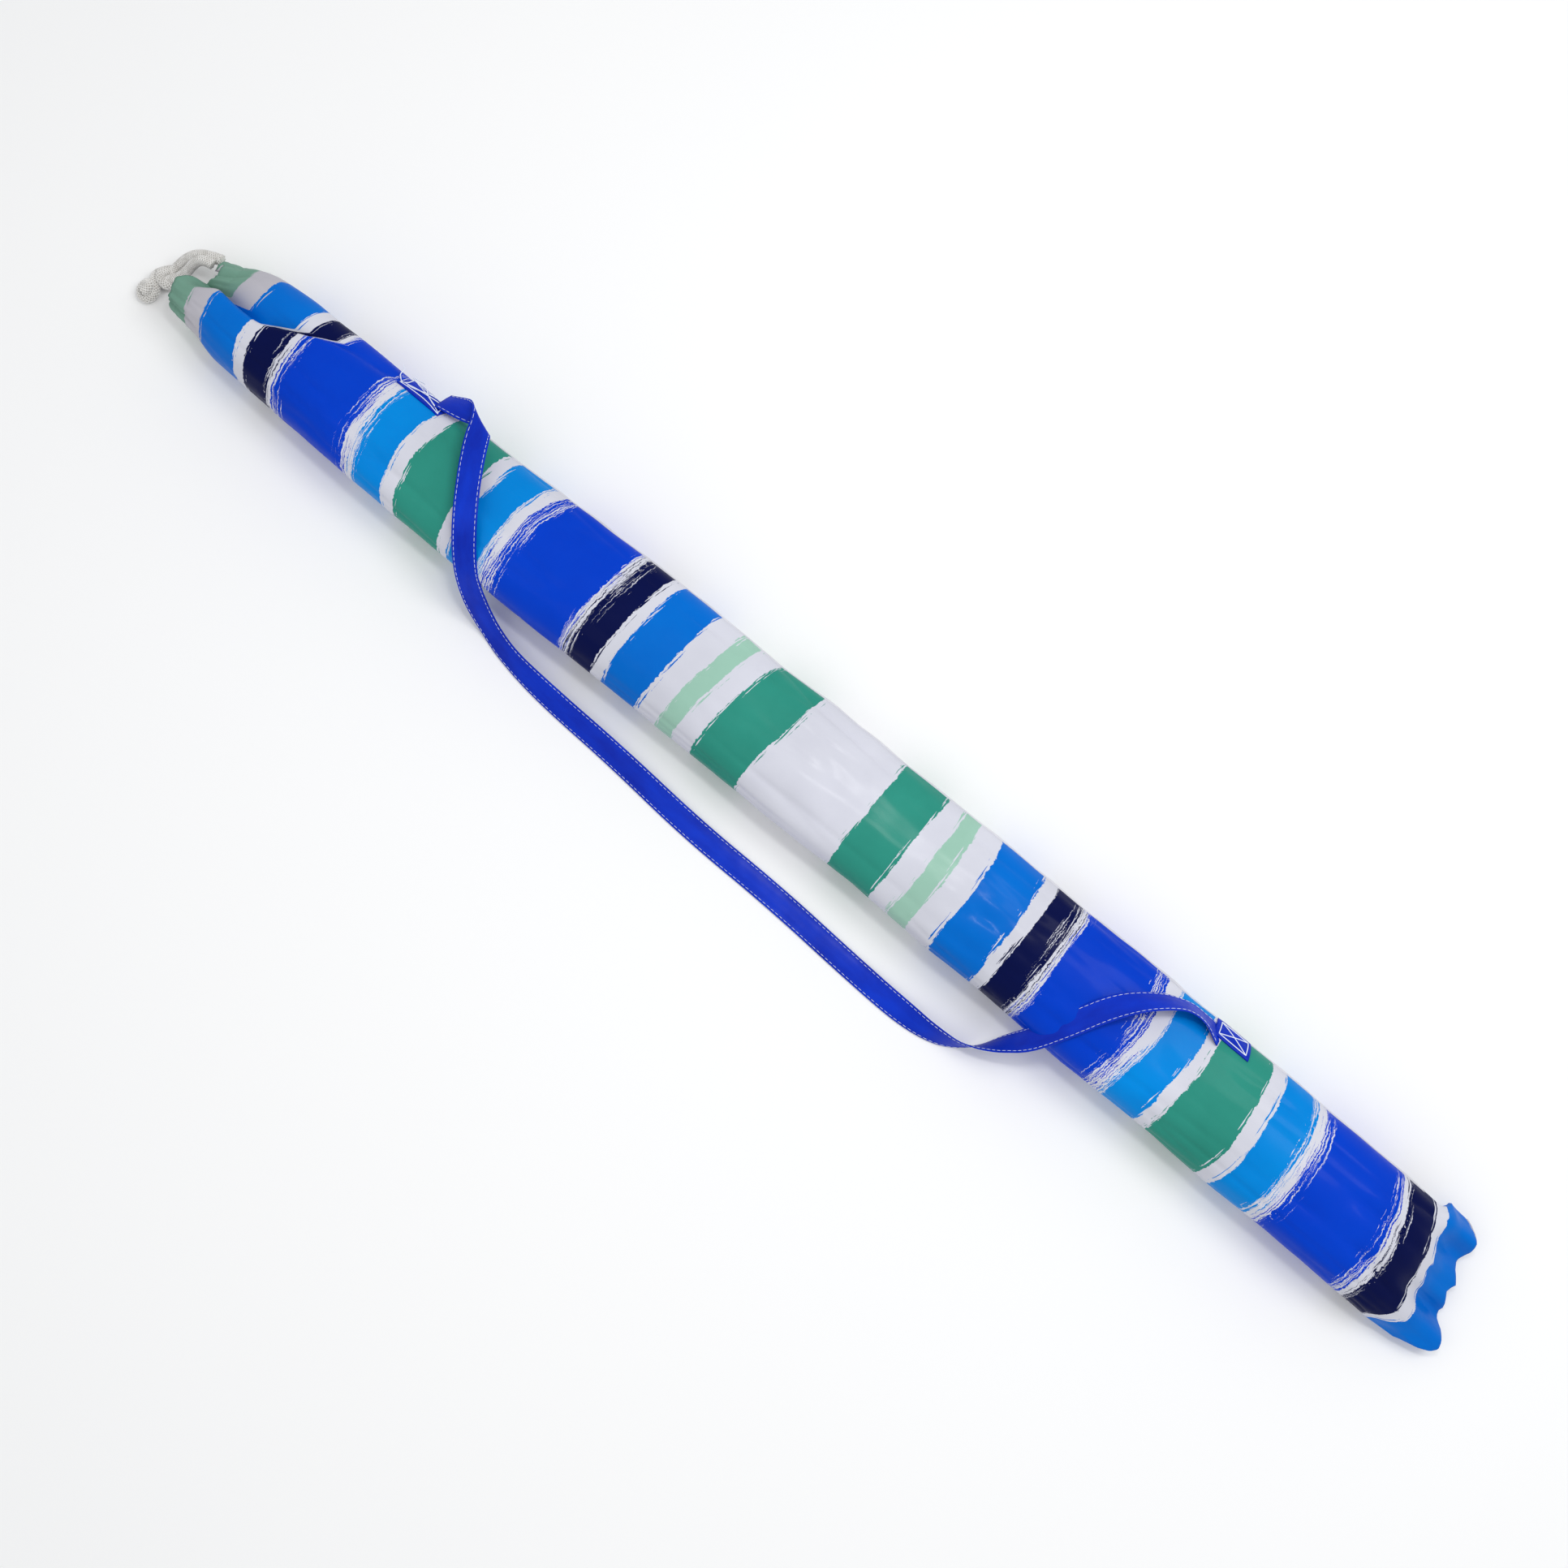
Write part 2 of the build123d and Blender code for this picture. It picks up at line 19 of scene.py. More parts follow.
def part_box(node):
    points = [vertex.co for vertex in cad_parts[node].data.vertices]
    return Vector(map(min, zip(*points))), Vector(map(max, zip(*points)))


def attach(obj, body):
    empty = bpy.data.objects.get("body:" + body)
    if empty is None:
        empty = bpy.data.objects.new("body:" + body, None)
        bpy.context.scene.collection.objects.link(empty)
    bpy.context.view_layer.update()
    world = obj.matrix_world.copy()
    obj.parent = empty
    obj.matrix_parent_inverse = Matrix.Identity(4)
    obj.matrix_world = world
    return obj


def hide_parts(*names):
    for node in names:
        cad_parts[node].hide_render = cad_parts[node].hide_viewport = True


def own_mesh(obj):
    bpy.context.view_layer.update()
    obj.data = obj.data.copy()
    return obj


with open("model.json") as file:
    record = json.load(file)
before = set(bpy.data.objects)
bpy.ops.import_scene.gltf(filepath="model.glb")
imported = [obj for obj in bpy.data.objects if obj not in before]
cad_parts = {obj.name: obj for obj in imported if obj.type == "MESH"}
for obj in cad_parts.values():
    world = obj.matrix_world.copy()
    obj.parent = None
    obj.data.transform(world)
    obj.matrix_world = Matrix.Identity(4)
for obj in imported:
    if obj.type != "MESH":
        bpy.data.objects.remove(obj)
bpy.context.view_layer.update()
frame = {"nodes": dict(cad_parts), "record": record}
MM = 0.001
LOG = logging.getLogger("umbrella")

Points = Sequence[tuple[float, float, float]]


# ------------------------------------------------------------------ small helpers
def srgb(red: int, green: int, blue: int) -> tuple[float, float, float, float]:
    """Turn an 8-bit display colour into a linear one.

    Args:
        red: Red from 0 to 255.
        green: Green from 0 to 255.
        blue: Blue from 0 to 255.

    Returns:
        Linear red, green, blue and an alpha of 1.
    """
    def linear(value: int) -> float:
        """Turn one 8-bit value into a linear one."""
        share = value / 255
        return share / 12.92 if share <= 0.04045 else ((share + 0.055) / 1.055) ** 2.4
    return linear(red), linear(green), linear(blue), 1.0


def smooth(value: np.ndarray, start: float, end: float) -> np.ndarray:
    """Ease from 0 at start to 1 at end.

    Args:
        value: Where to read the ease.
        start: Value that gives 0.
        end: Value that gives 1.

    Returns:
        The eased share for each value.
    """
    share = np.clip((np.asarray(value, float) - start) / (end - start), 0, 1)
    return share * share * (3 - 2 * share)


def through(value: np.ndarray, table: Sequence[tuple[float, float]]) -> np.ndarray:
    """Read a smooth curve through the points of a table.

    Args:
        value: Where to read the curve.
        table: Pairs of place and height, by rising place.

    Returns:
        The curve's height at each value.
    """
    places = np.array([pair[0] for pair in table], float)
    heights = np.array([pair[1] for pair in table], float)
    rises = np.diff(heights) / np.diff(places)
    product = rises[:-1] * rises[1:]
    inner = np.where(product > 0, 2 * product / np.where(product > 0, rises[:-1] + rises[1:], 1), 0)
    slopes = np.concatenate([rises[:1], inner, rises[-1:]])
    value = np.clip(np.asarray(value, float), places[0], places[-1])
    cell = np.clip(np.searchsorted(places, value, side="right") - 1, 0, len(places) - 2)
    span = places[cell + 1] - places[cell]
    t = (value - places[cell]) / span
    return (
        (2 * t**3 - 3 * t**2 + 1) * heights[cell] + (t**3 - 2 * t**2 + t) * span * slopes[cell]
        + (3 * t**2 - 2 * t**3) * heights[cell + 1] + (t**3 - t**2) * span * slopes[cell + 1]
    )


def noise_at(points: np.ndarray) -> np.ndarray:
    """Read gradient noise at many places.

    Args:
        points: Places, with their three coordinates on the last axis.

    Returns:
        Noise from about -1 to 1, with the shape of the places.
    """
    flat = points.reshape(-1, 3)
    values = [noise.noise(Vector(place)) for place in flat]
    return np.array(values).reshape(points.shape[:-1])


def deselect_all() -> None:
    """Deselect every object, so that an operator acts only on what is chosen next."""
    bpy.ops.object.select_all(action="DESELECT")


def choose(piece: bpy.types.Object) -> None:
    """Make one piece the only selected and the active one."""
    deselect_all()
    piece.select_set(True)
    bpy.context.view_layer.objects.active = piece


def sheet_mesh(name: str, grid: np.ndarray, uv: np.ndarray, wrap: bool = False) -> bpy.types.Object:
    """Make a mesh from a grid of points, with its pattern coordinates.

    Args:
        name: The piece's name.
        grid: Points by row and column.
        uv: Pattern coordinates by row and column, with one more column than the grid where it wraps.
        wrap: Whether the last column joins the first.

    Returns:
        The new object, smooth shaded.
    """
    rows, columns = grid.shape[:2]
    spans = columns if wrap else columns - 1
    corner = np.arange(rows * columns).reshape(rows, columns)
    after = np.roll(corner, -1, axis=1)
    faces = np.stack(
        [corner[:-1, :spans], after[:-1, :spans], after[1:, :spans], corner[1:, :spans]], axis=-1
    ).reshape(-1, 4)
    mesh = bpy.data.meshes.new(name)
    mesh.from_pydata(grid.reshape(-1, 3).tolist(), [], faces.tolist())
    layer = mesh.uv_layers.new(name="cloth")
    loops = np.stack(
        [uv[:-1, :spans], uv[:-1, 1:spans + 1], uv[1:, 1:spans + 1], uv[1:, :spans]], axis=-2
    )
    layer.data.foreach_set("uv", loops.reshape(-1))
    piece = bpy.data.objects.new(name, mesh)
    bpy.context.scene.collection.objects.link(piece)
    mesh.shade_smooth()
    return piece


def recalculate(piece: bpy.types.Object) -> None:
    """Turn all faces of a closed piece outwards."""
    choose(piece)
    bpy.ops.object.mode_set(mode="EDIT")
    bpy.ops.mesh.select_all(action="SELECT")
    bpy.ops.mesh.normals_make_consistent(inside=False)
    bpy.ops.object.mode_set(mode="OBJECT")


def tube_mesh(name: str, path: np.ndarray, radius: Callable[[np.ndarray, np.ndarray], np.ndarray],
              sides: int, girth: float = 0.028) -> bpy.types.Object:
    """Make a closed tube along a path, with rounded ends.

    Args:
        name: The piece's name.
        path: Points along the middle.
        radius: Gives the radius from the length along the path and the angle round it.
        sides: How many points go round.
        girth: Way round the tube in its pattern, in metres.

    Returns:
        The new object, with length and way round, in metres, as pattern coordinates.
    """
    steps = np.linalg.norm(np.diff(path, axis=0), axis=1)
    along = np.concatenate([[0], np.cumsum(steps)])
    tangents = np.gradient(path, axis=0)
    tangents /= np.linalg.norm(tangents, axis=1)[:, None]
    side = np.cross(tangents[0], (0.3, 0.2, 0.93))
    rings, angle = [], np.linspace(0, 2 * math.pi, sides, endpoint=False)
    for here, tangent, length in zip(path, tangents, along):
        side = side - tangent * (side @ tangent)
        side /= np.linalg.norm(side)
        other = np.cross(tangent, side)
        reach = radius(np.full(sides, length), angle)[:, None]
        rings.append(here + reach * (np.cos(angle)[:, None] * side + np.sin(angle)[:, None] * other))
    grid = np.array(rings)
    around = np.linspace(0, girth, sides + 1)
    uv = np.stack(np.meshgrid(along, around, indexing="ij"), axis=-1)
    piece = sheet_mesh(name, grid, uv, wrap=True)
    choose(piece)
    bpy.ops.object.mode_set(mode="EDIT")
    bpy.ops.mesh.select_all(action="DESELECT")
    bpy.ops.mesh.select_non_manifold()
    bpy.ops.mesh.edge_face_add()
    bpy.ops.object.mode_set(mode="OBJECT")
    recalculate(piece)
    return piece


def joined(name: str, pieces: Sequence[bpy.types.Object]) -> bpy.types.Object:
    """Join several pieces into one.

    Args:
        name: The joined piece's name.
        pieces: What to join.

    Returns:
        The joined piece.
    """
    deselect_all()
    for piece in pieces:
        piece.select_set(True)
    bpy.context.view_layer.objects.active = pieces[0]
    bpy.ops.object.join()
    pieces[0].name = pieces[0].data.name = name
    return pieces[0]


def thicken(piece: bpy.types.Object, thickness: float, lining: bool = False) -> None:
    """Give a sheet its thickness, inwards.

    Args:
        piece: The sheet.
        thickness: In metres.
        lining: Whether the inner side takes the piece's second material.
    """
    choose(piece)
    solid = piece.modifiers.new("thickness", "SOLIDIFY")
    solid.thickness = thickness
    solid.offset = -1
    if lining:
        solid.material_offset = 1
    bpy.ops.object.modifier_apply(modifier="thickness")


def route_points(name: str, points: Points, steps: int) -> np.ndarray:
    """Read the smooth line that a cord follows.

    Args:
        name: A name for the passing curve.
        points: The route's points, in millimetres.
        steps: Points read for each span of the route.

    Returns:
        Points along the line, in metres.
    """
    curve = bpy.data.curves.new(name, "CURVE")
    curve.dimensions = "3D"
    curve.resolution_u = steps
    spline = curve.splines.new("NURBS")
    spline.points.add(len(points) - 1)
    for place, (x, y, z) in zip(spline.points, points):
        place.co = (x * MM, y * MM, z * MM, 1)
    spline.order_u = 3
    spline.use_endpoint_u = True
    holder = bpy.data.objects.new(name, curve)
    bpy.context.scene.collection.objects.link(holder)
    mesh = bpy.data.meshes.new_from_object(holder)
    line = np.array([vertex.co for vertex in mesh.vertices])
    bpy.data.meshes.remove(mesh)
    bpy.data.objects.remove(holder)
    bpy.data.curves.remove(curve)
    return line


# ------------------------------------------------------------------ shader building
class Shader:
    """A node tree under construction."""

    def __init__(self, tree: bpy.types.NodeTree) -> None:
        """Start on a tree."""
        self.tree = tree

    def add(self, kind: str, inputs: dict | None = None, **settings) -> bpy.types.Node:
        """Add a node.

        Args:
            kind: Blender's node type.
            inputs: Values or output sockets, by input name or index.
            settings: Properties of the node.

        Returns:
            The node.
        """
        node = self.tree.nodes.new(kind)
        for key, value in settings.items():
            setattr(node, key, value)
        for key, value in (inputs or {}).items():
            if isinstance(value, bpy.types.NodeSocket):
                self.tree.links.new(value, node.inputs[key])
            else:
                node.inputs[key].default_value = value
        return node

    def math(self, operation: str, first, second=0.0, third=0.0) -> bpy.types.NodeSocket:
        """Add a math node and return its result."""
        return self.add("ShaderNodeMath", {0: first, 1: second, 2: third}, operation=operation).outputs[0]

    def vector(self, x, y, z=0.0) -> bpy.types.NodeSocket:
        """Combine three numbers into a vector and return it."""
        return self.add("ShaderNodeCombineXYZ", {0: x, 1: y, 2: z}).outputs[0]

    def noise(self, vector, scale: float, detail: float = 2.0,
              roughness: float = 0.5) -> bpy.types.NodeSocket:
        """Add a noise texture and return its value."""
        made = self.add("ShaderNodeTexNoise", {"Vector": vector, "Scale": scale, "Detail": detail,
                                               "Roughness": roughness})
        return made.outputs["Fac"]

    def range(self, value, low: float, high: float, out_low: float, out_high: float) -> bpy.types.NodeSocket:
        """Map a range of values to another, clamped, and return the result."""
        made = self.add("ShaderNodeMapRange", {0: value, 1: low, 2: high, 3: out_low, 4: out_high})
        return made.outputs[0]

    def mix(self, share, first, second, blend: str = "MIX") -> bpy.types.NodeSocket:
        """Mix two colours and return the result."""
        made = self.add("ShaderNodeMix", data_type="RGBA", blend_type=blend, clamp_factor=True)
        for socket, value in ((made.inputs[0], share), (made.inputs[6], first), (made.inputs[7], second)):
            if isinstance(value, bpy.types.NodeSocket):
                self.tree.links.new(value, socket)
            else:
                socket.default_value = value
        return made.outputs[2]

    def bump(self, height, strength: float, distance: float) -> bpy.types.NodeSocket:
        """Add a bump node and return its normal."""
        made = self.add("ShaderNodeBump", {"Height": height, "Strength": strength, "Distance": distance})
        return made.outputs[0]


def node_group(name: str, inputs: Sequence[tuple[str, str]], outputs: Sequence[tuple[str, str]]
               ) -> tuple[Shader, bpy.types.Node, bpy.types.Node]:
    """Make an empty node group.

    Args:
        name: The group's name.
        inputs: Name and socket type of each input.
        outputs: Name and socket type of each output.

    Returns:
        The group under construction, its input node and its output node.
    """
    tree = bpy.data.node_groups.new(name, "ShaderNodeTree")
    for label, kind in inputs:
        tree.interface.new_socket(label, in_out="INPUT", socket_type=kind)
    for label, kind in outputs:
        tree.interface.new_socket(label, in_out="OUTPUT", socket_type=kind)
    shader = Shader(tree)
    return shader, shader.add("NodeGroupInput"), shader.add("NodeGroupOutput")


def new_material(name: str, **sockets) -> tuple[bpy.types.Material, Shader, bpy.types.Node]:
    """Make a material with one Principled shader.

    Args:
        name: The material's name.
        sockets: Constant values of the shader's sockets, with _ for a space.

    Returns:
        The material, its tree and its shader node.
    """
    material = bpy.data.materials.new(name)
    material.use_nodes = True
    tree = material.node_tree
    tree.nodes.clear()
    shader = Shader(tree)
    surface = shader.add("ShaderNodeBsdfPrincipled")
    for key, value in sockets.items():
        surface.inputs[key.replace("_", " ")].default_value = value
    output = shader.add("ShaderNodeOutputMaterial")
    tree.links.new(surface.outputs[0], output.inputs[0])
    return material, shader, surface


class Paint(Enum):
    """The printed cloth's colours. The shaded white and the darker mint of the last band are painted shade
    for the gathered mouth.
    """

    WHITE = srgb(206, 207, 218)
    SHADED = srgb(180, 178, 186)
    GREEN = srgb(44, 136, 120)
    MINT = srgb(150, 192, 174)
    # darker mint: a thin printed line in one band, and painted shade in the last band at the mouth
    DARK_MINT_AND_SHADE = srgb(112, 152, 135)
    BLUE = srgb(0, 103, 200)
    NAVY = srgb(3, 12, 64)
    ROYAL = srgb(0, 58, 192)
    AZURE = srgb(0, 128, 212)


# where each band starts, in millimetres from the middle of the print
BANDS = (
    (0, Paint.WHITE), (45, Paint.GREEN), (89, Paint.WHITE), (108, Paint.DARK_MINT_AND_SHADE), (109.2, Paint.MINT),
    (124, Paint.WHITE), (145, Paint.BLUE), (182, Paint.WHITE), (189.2, Paint.NAVY), (190.4, Paint.WHITE),
    (192.5, Paint.NAVY), (215, Paint.WHITE), (226, Paint.ROYAL), (298, Paint.WHITE), (317, Paint.AZURE),
    (345, Paint.WHITE), (358, Paint.GREEN), (407, Paint.WHITE), (421, Paint.AZURE), (448, Paint.WHITE),
    (465, Paint.ROYAL), (535, Paint.WHITE), (545, Paint.NAVY), (568, Paint.WHITE), (570, Paint.NAVY),
    # the last two bands lie in the gathered mouth and carry painted shade: a greyed white and a darker mint
    (571.2, Paint.WHITE), (579, Paint.BLUE), (618, Paint.SHADED), (645, Paint.DARK_MINT_AND_SHADE),
)
# where a dry brush has left streaks: start, paint and how densely it covers
BRUSHED = (
    (209.0, Paint.WHITE, 0.2), (213.5, Paint.NAVY, 0.9), (218.0, Paint.NAVY, 0.35),
    (222.0, Paint.ROYAL, 0.45), (226.0, Paint.WHITE, 0.25), (231.0, Paint.ROYAL, 0.0),
    (291.0, Paint.WHITE, 0.25), (297.0, Paint.ROYAL, 0.75), (301.0, Paint.ROYAL, 0.42),
    (306.0, Paint.ROYAL, 0.22), (311.0, Paint.AZURE, 0.4), (317.0, Paint.AZURE, 0.0),
    (447.0, Paint.AZURE, 0.6), (452.0, Paint.AZURE, 0.2), (456.0, Paint.ROYAL, 0.3),
    (461.0, Paint.ROYAL, 0.7), (465.0, Paint.WHITE, 0.3), (471.0, Paint.WHITE, 0.0),
    (529.0, Paint.WHITE, 0.28), (534.0, Paint.ROYAL, 0.6), (538.0, Paint.NAVY, 0.3),
    (541.5, Paint.NAVY, 0.75), (545.0, Paint.WHITE, 0.15), (549.0, Paint.WHITE, 0.0),
)
PRINT_REACH = 700.0                       # millimetres of print that the colour ramps cover


@dataclass(frozen=True)
class PrintedCloth:
    """Coated polyester with hand-painted stripes, and its plain reverse. Sizes are in metres."""

    roughness: float = 0.4
    coat: float = 0.06
    weave: float = 0.00045
    wander: float = 0.012                 # how far a band's edge strays in long waves
    ragged: float = 0.0055                # how far it strays where the paint ran dry
    stroke: float = 0.0036                # how far single bristles overshoot it

    def stripes(self) -> bpy.types.NodeTree:
        """Build the node group that paints the stripes.

        Returns:
            The group, which turns cloth coordinates in metres into a colour.
        """
        shader, given, result = node_group(
            "painted_stripes", [("Cloth", "NodeSocketVector")], [("Color", "NodeSocketColor")]
        )
        parts = shader.add("ShaderNodeSeparateXYZ", {0: given.outputs[0]})
        along, across = parts.outputs[0], parts.outputs[1]
        place = shader.vector(along, across)
        waves = shader.math("SUBTRACT", shader.noise(place, 14, 1), 0.5)
        wander = shader.math("MULTIPLY", waves, self.wander)
        dry = shader.math("SUBTRACT", shader.noise(place, 170, 5, 0.72), 0.5)
        ragged = shader.math("MULTIPLY", dry, self.ragged)
        strokes = shader.vector(shader.math("MULTIPLY", along, 620), shader.math("MULTIPLY", across, 30))
        stroke = shader.range(shader.noise(strokes, 1, 3, 0.6), 0.57, 0.59, 0, self.stroke)
        shifted = shader.math("ADD", shader.math("ADD", along, wander), ragged)
        distance = shader.math("ADD", shader.math("ABSOLUTE", shifted), stroke)
        share = shader.math("DIVIDE", distance, PRINT_REACH * MM)
        bands = self.ramp(shader, share, [(start, paint.value) for start, paint in BANDS])
        marks = [(start, (*paint.value[:3], cover)) for start, paint, cover in BRUSHED]
        brushed = self.ramp(shader, share, [(0.0, (0.0, 0.0, 0.0, 0.0))] + marks)
        hairs = shader.vector(shader.math("MULTIPLY", distance, 760), shader.math("MULTIPLY", across, 11))
        cover = brushed.outputs[1]
        bar = shader.math("MULTIPLY_ADD", cover, -0.34, 0.67)
        hair = shader.math("DIVIDE", shader.math("SUBTRACT", shader.noise(hairs, 1, 3, 0.55), bar), 0.02)
        speck = shader.range(shader.noise(place, 420, 3, 0.7), 0.34, 0.38, 0, 1)
        hair = shader.math("MAXIMUM", shader.math("MINIMUM", hair, 1.0), 0.0)
        streak = shader.math("MULTIPLY", hair, speck)
        streak = shader.math("MULTIPLY", streak, shader.math("GREATER_THAN", cover, 0.05))
        painted = shader.mix(streak, bands.outputs[0], brushed.outputs[0])
        pool = shader.range(shader.noise(place, 22, 5, 0.6), 0.35, 0.7, 0.0, 0.14)
        painted = shader.mix(pool, painted, (1, 1, 1, 1), "SOFT_LIGHT")
        depth = shader.range(shader.noise(place, 7, 3), 0.3, 0.7, 0.9, 1.04)
        tone = shader.add("ShaderNodeCombineXYZ", {0: depth, 1: depth, 2: depth}).outputs[0]
        shader.tree.links.new(shader.mix(1.0, painted, tone, "MULTIPLY"), result.inputs[0])
        return shader.tree

    @staticmethod
    def ramp(shader: Shader, share: bpy.types.NodeSocket,
             marks: Sequence[tuple[float, tuple[float, float, float, float]]]) -> bpy.types.Node:
        """Build a stepped colour ramp.

        Args:
            shader: Where to build it.
            share: The ramp's input.
            marks: Where each colour starts, in millimetres, and the colour.

        Returns:
            The ramp node.
        """
        node = shader.add("ShaderNodeValToRGB", {0: share})
        stops = node.color_ramp
        stops.interpolation = "CONSTANT"
        stops.elements.remove(stops.elements[1])
        stops.elements[0].position = 0.0
        stops.elements[0].color = marks[0][1]
        for start, colour in marks[1:]:
            stops.elements.new(start / PRINT_REACH).color = colour
        return node

    def surface(self) -> bpy.types.NodeTree:
        """Build the node group of the cloth's fine relief.

        Returns:
            The group, which gives a height and a roughness from cloth coordinates.
        """
        shader, given, result = node_group(
            "cloth_relief", [("Cloth", "NodeSocketVector"), ("Roughness", "NodeSocketFloat")],
            [("Height", "NodeSocketFloat"), ("Roughness", "NodeSocketFloat")],
        )
        parts = shader.add("ShaderNodeSeparateXYZ", {0: given.outputs[0]})
        pitch = 2 * math.pi / self.weave
        warp = shader.math("SINE", shader.math("MULTIPLY", parts.outputs[0], pitch))
        weft = shader.math("SINE", shader.math("MULTIPLY", parts.outputs[1], pitch))
        threads = shader.math("MULTIPLY", shader.math("MULTIPLY", warp, weft), 0.05)
        rumple = shader.noise(given.outputs[0], 95, 4, 0.55)
        soft = shader.noise(given.outputs[0], 28, 3, 0.5)
        height = shader.math("ADD", threads, shader.math("ADD", rumple, shader.math("MULTIPLY", soft, 2.0)))
        rough = shader.math("ADD", given.outputs[1], shader.range(rumple, 0.3, 0.7, -0.05, 0.07))
        shader.tree.links.new(height, result.inputs[0])
        shader.tree.links.new(rough, result.inputs[1])
        return shader.tree

    def build(self) -> tuple[bpy.types.Material, bpy.types.Material]:
        """Build the printed face and the plain reverse.

        Returns:
            The material of the face and the one of the reverse.
        """
        stripes, relief = self.stripes(), self.surface()
        face, shader, principled = new_material(
            "printed_cloth", Coat_Weight=self.coat, Coat_Roughness=0.14, Specular_IOR_Level=0.03,
        )
        cloth = shader.add("ShaderNodeUVMap", uv_map="cloth").outputs[0]
        print_node = shader.add("ShaderNodeGroup", node_tree=stripes)
        shader.tree.links.new(cloth, print_node.inputs[0])
        shader.tree.links.new(print_node.outputs[0], principled.inputs["Base Color"])
        self.dress(shader, principled, relief, cloth, 0.25)
        reverse, shader, principled = new_material("cloth_reverse", Sheen_Weight=0.1)
        cloth = shader.add("ShaderNodeUVMap", uv_map="cloth").outputs[0]
        tint = shader.range(shader.noise(cloth, 40, 3), 0.3, 0.7, 0, 1)
        plain = shader.mix(tint, srgb(196, 196, 204), srgb(216, 216, 222))
        shader.tree.links.new(plain, principled.inputs["Base Color"])
        self.dress(shader, principled, relief, cloth, 0.3)
        return face, reverse

    def dress(self, shader: Shader, principled: bpy.types.Node, relief: bpy.types.NodeTree,
              cloth: bpy.types.NodeSocket, strength: float) -> None:
        """Give a cloth material its relief and roughness.

        Args:
            shader: The material's tree.
            principled: Its shader.
            relief: The relief group.
            cloth: Cloth coordinates.
            strength: Strength of the relief.
        """
        fine = shader.add("ShaderNodeGroup", {1: self.roughness}, node_tree=relief)
        shader.tree.links.new(cloth, fine.inputs[0])
        shader.tree.links.new(fine.outputs[1], principled.inputs["Roughness"])
        shader.tree.links.new(shader.bump(fine.outputs[0], strength, 0.0006), principled.inputs["Normal"])


@dataclass(frozen=True)
class StrapCloth:
    """Royal-blue cloth folded into a strap."""

    deep: tuple[float, float, float, float] = srgb(0, 34, 162)
    light: tuple[float, float, float, float] = srgb(0, 52, 196)

    def build(self) -> bpy.types.Material:
        """Build the strap's material."""
        material, shader, principled = new_material(
            "strap_cloth", Specular_IOR_Level=0.1, Coat_Weight=0.08, Coat_Roughness=0.25,
        )
        cloth = shader.add("ShaderNodeUVMap", uv_map="cloth").outputs[0]
        parts = shader.add("ShaderNodeSeparateXYZ", {0: cloth})
        long_way = shader.vector(shader.math("MULTIPLY", parts.outputs[0], 0.35), parts.outputs[1])
        tone = shader.range(shader.noise(long_way, 55, 4, 0.55), 0.3, 0.7, 0, 1)
        shader.tree.links.new(shader.mix(tone, self.deep, self.light), principled.inputs["Base Color"])
        rough = shader.range(shader.noise(cloth, 180, 3), 0.3, 0.7, 0.38, 0.52)
        shader.tree.links.new(rough, principled.inputs["Roughness"])
        warp = shader.math("SINE", shader.math("MULTIPLY", parts.outputs[0], 12000))
        weft = shader.math("SINE", shader.math("MULTIPLY", parts.outputs[1], 12000))
        height = shader.math("ADD", shader.math("MULTIPLY", shader.math("MULTIPLY", warp, weft), 0.06),
                             shader.noise(long_way, 120, 4, 0.6))
        shader.tree.links.new(shader.bump(height, 0.3, 0.0006), principled.inputs["Normal"])
        return material


@dataclass(frozen=True)
class RopeFibre:
    """Silky grey-white braided cord, with painted shade darkening the gaps between its strands."""

    strands: int = 8
    lay_length: float = 0.015
    girth: float = 0.028

    def build(self) -> bpy.types.Material:
        """Build the rope's material."""
        material, shader, principled = new_material("braided_cord", Sheen_Weight=0.3)
        cloth = shader.add("ShaderNodeUVMap", uv_map="cloth").outputs[0]
        parts = shader.add("ShaderNodeSeparateXYZ", {0: cloth})
        spread = shader.vector(shader.math("MULTIPLY", parts.outputs[0], 0.5), parts.outputs[1])
        fibre = shader.noise(spread, 1500, 3, 0.7)
        patch = shader.noise(cloth, 160, 3, 0.6)
        tone = shader.math("ADD", shader.math("MULTIPLY", fibre, 0.55), shader.math("MULTIPLY", patch, 0.45))
        colour = shader.mix(shader.range(tone, 0.35, 0.65, 0, 1), srgb(206, 203, 198), srgb(248, 247, 245))
        turn = shader.math("MULTIPLY", parts.outputs[1], self.strands * math.pi / self.girth)
        wind = shader.math("MULTIPLY", parts.outputs[0], self.strands * math.pi / self.lay_length)
        one = shader.math("ABSOLUTE", shader.math("COSINE", shader.math("ADD", turn, wind)))
        two = shader.math("ABSOLUTE", shader.math("COSINE", shader.math("SUBTRACT", turn, wind)))
        cell = shader.math("MAXIMUM", one, two)
        # painted shade: the gaps between the strands are darkened, as shade falls there
        colour = shader.mix(shader.range(cell, 0.69, 0.8, 0, 1), srgb(178, 175, 169), colour)
        shader.tree.links.new(colour, principled.inputs["Base Color"])
        shader.tree.links.new(shader.range(fibre, 0.3, 0.7, 0.42, 0.62), principled.inputs["Roughness"])
        shader.tree.links.new(shader.bump(fibre, 0.35, 0.0004), principled.inputs["Normal"])
        return material


@dataclass(frozen=True)
class Thread:
    """Pale sewing thread."""

    colour: tuple[float, float, float, float] = srgb(214, 224, 242)

    def build(self) -> bpy.types.Material:
        """Build the thread's material."""
        material, shader, principled = new_material("sewing_thread", Sheen_Weight=0.2)
        place = shader.add("ShaderNodeTexCoord").outputs["Object"]
        twist = shader.noise(place, 1400, 2)
        tone = shader.mix(twist, self.colour, srgb(236, 240, 248))
        shader.tree.links.new(tone, principled.inputs["Base Color"])
        shader.tree.links.new(shader.range(twist, 0.3, 0.7, 0.45, 0.65), principled.inputs["Roughness"])
        return material


